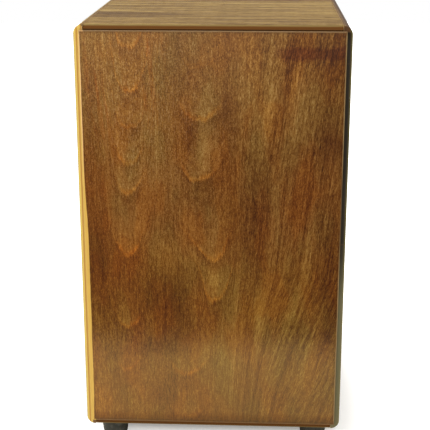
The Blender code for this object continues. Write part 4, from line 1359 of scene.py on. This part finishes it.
piece(
    "clamp_ring",
    revolve(
        [(bore, 1 * MM), (6 * MM - e, 1 * MM), (6 * MM, 1 * MM - e), (6 * MM, e), (6 * MM - e, 0), (bore + e, 0), (bore, e)],
        64,
        Matrix.Translation((THUMB_X, THUMB_Y, under - GAP - 1 * MM)),
    ),
    ZINC, "case", ["clamp_washer"],
)


def hexed(r, z, a):
    if r < 3.4 * MM:
        return r
    side = (a + math.pi / 6) % (math.pi / 3) - math.pi / 6
    return min(r, 4 * MM / math.cos(side))


h = 2 * MM
profile = [(bore + 0.4 * MM, h), (4.0 * MM, h), (4.3 * MM, h - 0.18 * MM), (4.7 * MM, h - 0.5 * MM)]
profile += [(4.7 * MM, 0)] + [(r, -z) for r, z in reversed(profile)]
profile += [(bore, -h + 0.4 * MM), (bore, h - 0.4 * MM)]
piece(
    "clamp_hex", revolve(profile, 96, Matrix.Translation((THUMB_X, THUMB_Y, BAR_Z + BLOCK_H / 2 + GAP + 2 * MM)), shape=hexed),
    ZINC, "case", ["clamp_nut"], sharp=22.0,
)
head_top = under - 2 * GAP - 1 * MM
shank_end = BAR_Z + BLOCK_H / 2 + 7 * MM - head_top


def lobed(r, z, a):
    if r < 5.6 * MM:
        return r
    return r + 0.9 * MM * math.cos(6 * a)


profile = [(0, -7.0 * MM), (3.6 * MM, -7.0 * MM), (4.4 * MM, -7.25 * MM), (5.0 * MM, -7.8 * MM), (5.5 * MM, -8 * MM)]
profile += [(6.8 * MM, -8 * MM)]
profile += [(6.8 * MM + 0.8 * MM * math.sin(math.radians(a)), -7.2 * MM - 0.8 * MM * math.cos(math.radians(a))) for a in (22, 45, 68, 90)]
profile += [(7.6 * MM, -4 * MM), (7.6 * MM, -0.8 * MM)]
profile += [(6.8 * MM + 0.8 * MM * math.cos(math.radians(a)), -0.8 * MM + 0.8 * MM * math.sin(math.radians(a))) for a in (22, 45, 68, 90)]
profile += [(5.5 * MM, 0), (THUMB_R * 0.98, 0)]
head = revolve(profile + [(0, 0)], 144, shape=lobed)
pitch, root = 0.8 * MM, 2.08 * MM
profile = [(0, -2 * MM), (root, -2 * MM), (root, 0.4 * MM)]
z = 0.6 * MM
while z < shank_end - 1.2 * MM:
    profile.append((root, z))
    z += pitch / 6
profile += [(root, shank_end - 0.8 * MM), (root - 0.6 * MM, shank_end), (0, shank_end)]
shank = revolve(profile, 32, thread=(0.6 * MM, shank_end - 1.2 * MM, pitch, THUMB_R - root))
piece(
    "thumb_bolt", merged([head, shank]), NYLON, "thumbscrew", ["clamp_thumbscrew"],
    Matrix.Translation((THUMB_X, THUMB_Y, head_top)),
)

# ------------------------------------------------------------------ floor, light, camera
scene = bpy.context.scene
scene.view_settings.view_transform = "Standard"
scene.view_settings.look = "None"
scene.view_settings.exposure = 0.0
scene.view_settings.gamma = 1.0

bm = bmesh.new()
bmesh.ops.create_circle(bm, cap_ends=True, segments=96, radius=4.0)
mesh = bpy.data.meshes.new("floor")
bm.to_mesh(mesh)
bm.free()
floor = bpy.data.objects.new("floor", mesh)
scene.collection.objects.link(floor)
floor.location = (0, 0, -0.0002)
fl = Shader("pale_floor")
soft = fl.noise(fl.p, 0.004, 2.0)
rays = fl.node("ShaderNodeLightPath")
# Painted reflection: glossy rays see the floor a warm amber, so the lacquer mirrors it warmer than it is.
floor_and_warm_reflection = fl.mix(rays.outputs["Is Glossy Ray"], (0.90, 0.90, 0.885, 1.0), (0.92, 0.84, 0.62, 1.0))
fl.done(fl.scaled(floor_and_warm_reflection, fl.add(1.0, fl.signed(soft, 0.02))), 0.7, Specular_IOR_Level=0.1)
# Painted light: for camera rays the floor glows, burning out to white away from the object as a bright sweep does,
# glowing more under the front of the object and to its right, which lightens the shadows there, and less further under
# it.
reach = fl.math("SQRT", fl.add(fl.math("POWER", fl.math("ABSOLUTE", fl.x), 2.0), fl.math("POWER", fl.math("ABSOLUTE", fl.y), 2.0)))
glow = fl.add(
    fl.span(reach, 140.0, 380.0, 0.36, 1.0), fl.span(fl.y, -98.0, -114.0, -0.10, 0.16), fl.span(fl.x, 158.0, 205.0, 0.0, 0.32)
)
fl.put(fl.bsdf.inputs["Emission Color"], (1.0, 1.0, 0.985, 1.0))
fl.put(fl.bsdf.inputs["Emission Strength"], fl.mul(glow, rays.outputs["Is Camera Ray"]))
# Painted reflection: for glossy rays only, the floor ends a hand's breadth in front of the object and a near-black
# sheet stands past it, so the lacquer mirrors a dark room there.
past = fl.mul(fl.span(fl.y, -440.0, -500.0), rays.outputs["Is Glossy Ray"])
dark = fl.node("ShaderNodeBsdfDiffuse")
dark.inputs[0].default_value = (0.03, 0.025, 0.02, 1.0)
both = fl.node("ShaderNodeMixShader")
fl.put(both.inputs[0], past)
fl.tree.links.new(fl.bsdf.outputs[0], both.inputs[1])
fl.tree.links.new(dark.outputs[0], both.inputs[2])
end = next(n for n in fl.tree.nodes if n.type == "OUTPUT_MATERIAL")
fl.tree.links.new(both.outputs[0], end.inputs[0])
mesh.materials.append(fl.mat)

world = bpy.data.worlds.new("studio")
scene.world = world
world.use_nodes = True
nt = world.node_tree
nt.nodes.clear()
out = nt.nodes.new("ShaderNodeOutputWorld")
plain = nt.nodes.new("ShaderNodeBackground")
plain.inputs[0].default_value = (1, 1, 1, 1)
plain.inputs[1].default_value = 1.0
soft_sky = nt.nodes.new("ShaderNodeBackground")
path = nt.nodes.new("ShaderNodeLightPath")
mixer = nt.nodes.new("ShaderNodeMixShader")
coord = nt.nodes.new("ShaderNodeTexCoord")
parts = nt.nodes.new("ShaderNodeSeparateXYZ")
side_fall = nt.nodes.new("ShaderNodeMapRange")
side_fall.inputs["From Min"].default_value = -0.7
side_fall.inputs["From Max"].default_value = 0.8
side_fall.inputs["To Min"].default_value = 1.15
side_fall.inputs["To Max"].default_value = 0.62
nt.links.new(coord.outputs["Generated"], parts.inputs[0])
nt.links.new(parts.outputs[0], side_fall.inputs["Value"])
nt.links.new(side_fall.outputs[0], soft_sky.inputs[1])
soft_sky.inputs[0].default_value = (1.0, 0.99, 0.97, 1)
nt.links.new(path.outputs["Is Camera Ray"], mixer.inputs[0])
nt.links.new(soft_sky.outputs[0], mixer.inputs[1])
nt.links.new(plain.outputs[0], mixer.inputs[2])
nt.links.new(mixer.outputs[0], out.inputs[0])


def area(name, place, target, size, watts, colour=(1, 1, 1)):
    light = bpy.data.lights.new(name, "AREA")
    light.shape = "RECTANGLE"
    light.size, light.size_y = size
    light.energy = watts
    light.color = colour
    obj = bpy.data.objects.new(name, light)
    scene.collection.objects.link(obj)
    obj.location = place
    obj.rotation_euler = (Vector(target) - Vector(place)).to_track_quat("-Z", "Y").to_euler()
    obj.visible_camera = False
    return obj


area("key", (-1.9, -1.0, 1.5), (0, 0, 0.25), (1.2, 1.2), 34)
area("over", (0.1, 0.2, 2.4), (0, 0, 0.3), (1.8, 1.8), 22)

camera_data = bpy.data.cameras.new("camera")
camera_data.sensor_width = 36.0
camera_data.lens = 91.71
camera_data.clip_start, camera_data.clip_end = 0.05, 50.0
camera = bpy.data.objects.new("camera", camera_data)
scene.collection.objects.link(camera)
camera.location = (0.0567, -1.3224, 0.6483)
camera.rotation_euler = (math.radians(90 - 17.02), 0.0, math.radians(2.62))
scene.camera = camera

for name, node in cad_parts.items():
    if node.hide_render:
        continue
    wood = BEECH_X if name in ("rear_cleat_top", "rear_cleat_bottom", "snare_bar") else BEECH_Z if name.startswith("rear_cleat") else BEECH_Y
    if name.startswith(("snare_strand",)):
        wood = SPRING
    elif name.startswith(("snare_pin", "strand_clamp", "snare_lever", "clamp_nut", "clamp_washer")):
        wood = ZINC
    elif name.startswith("strand_screw"):
        wood = BLACK_STEEL
    elif name.startswith(("clamp_thumb", "lever_grip")):
        wood = NYLON
    node.data.materials.clear()
    node.data.materials.append(wood)
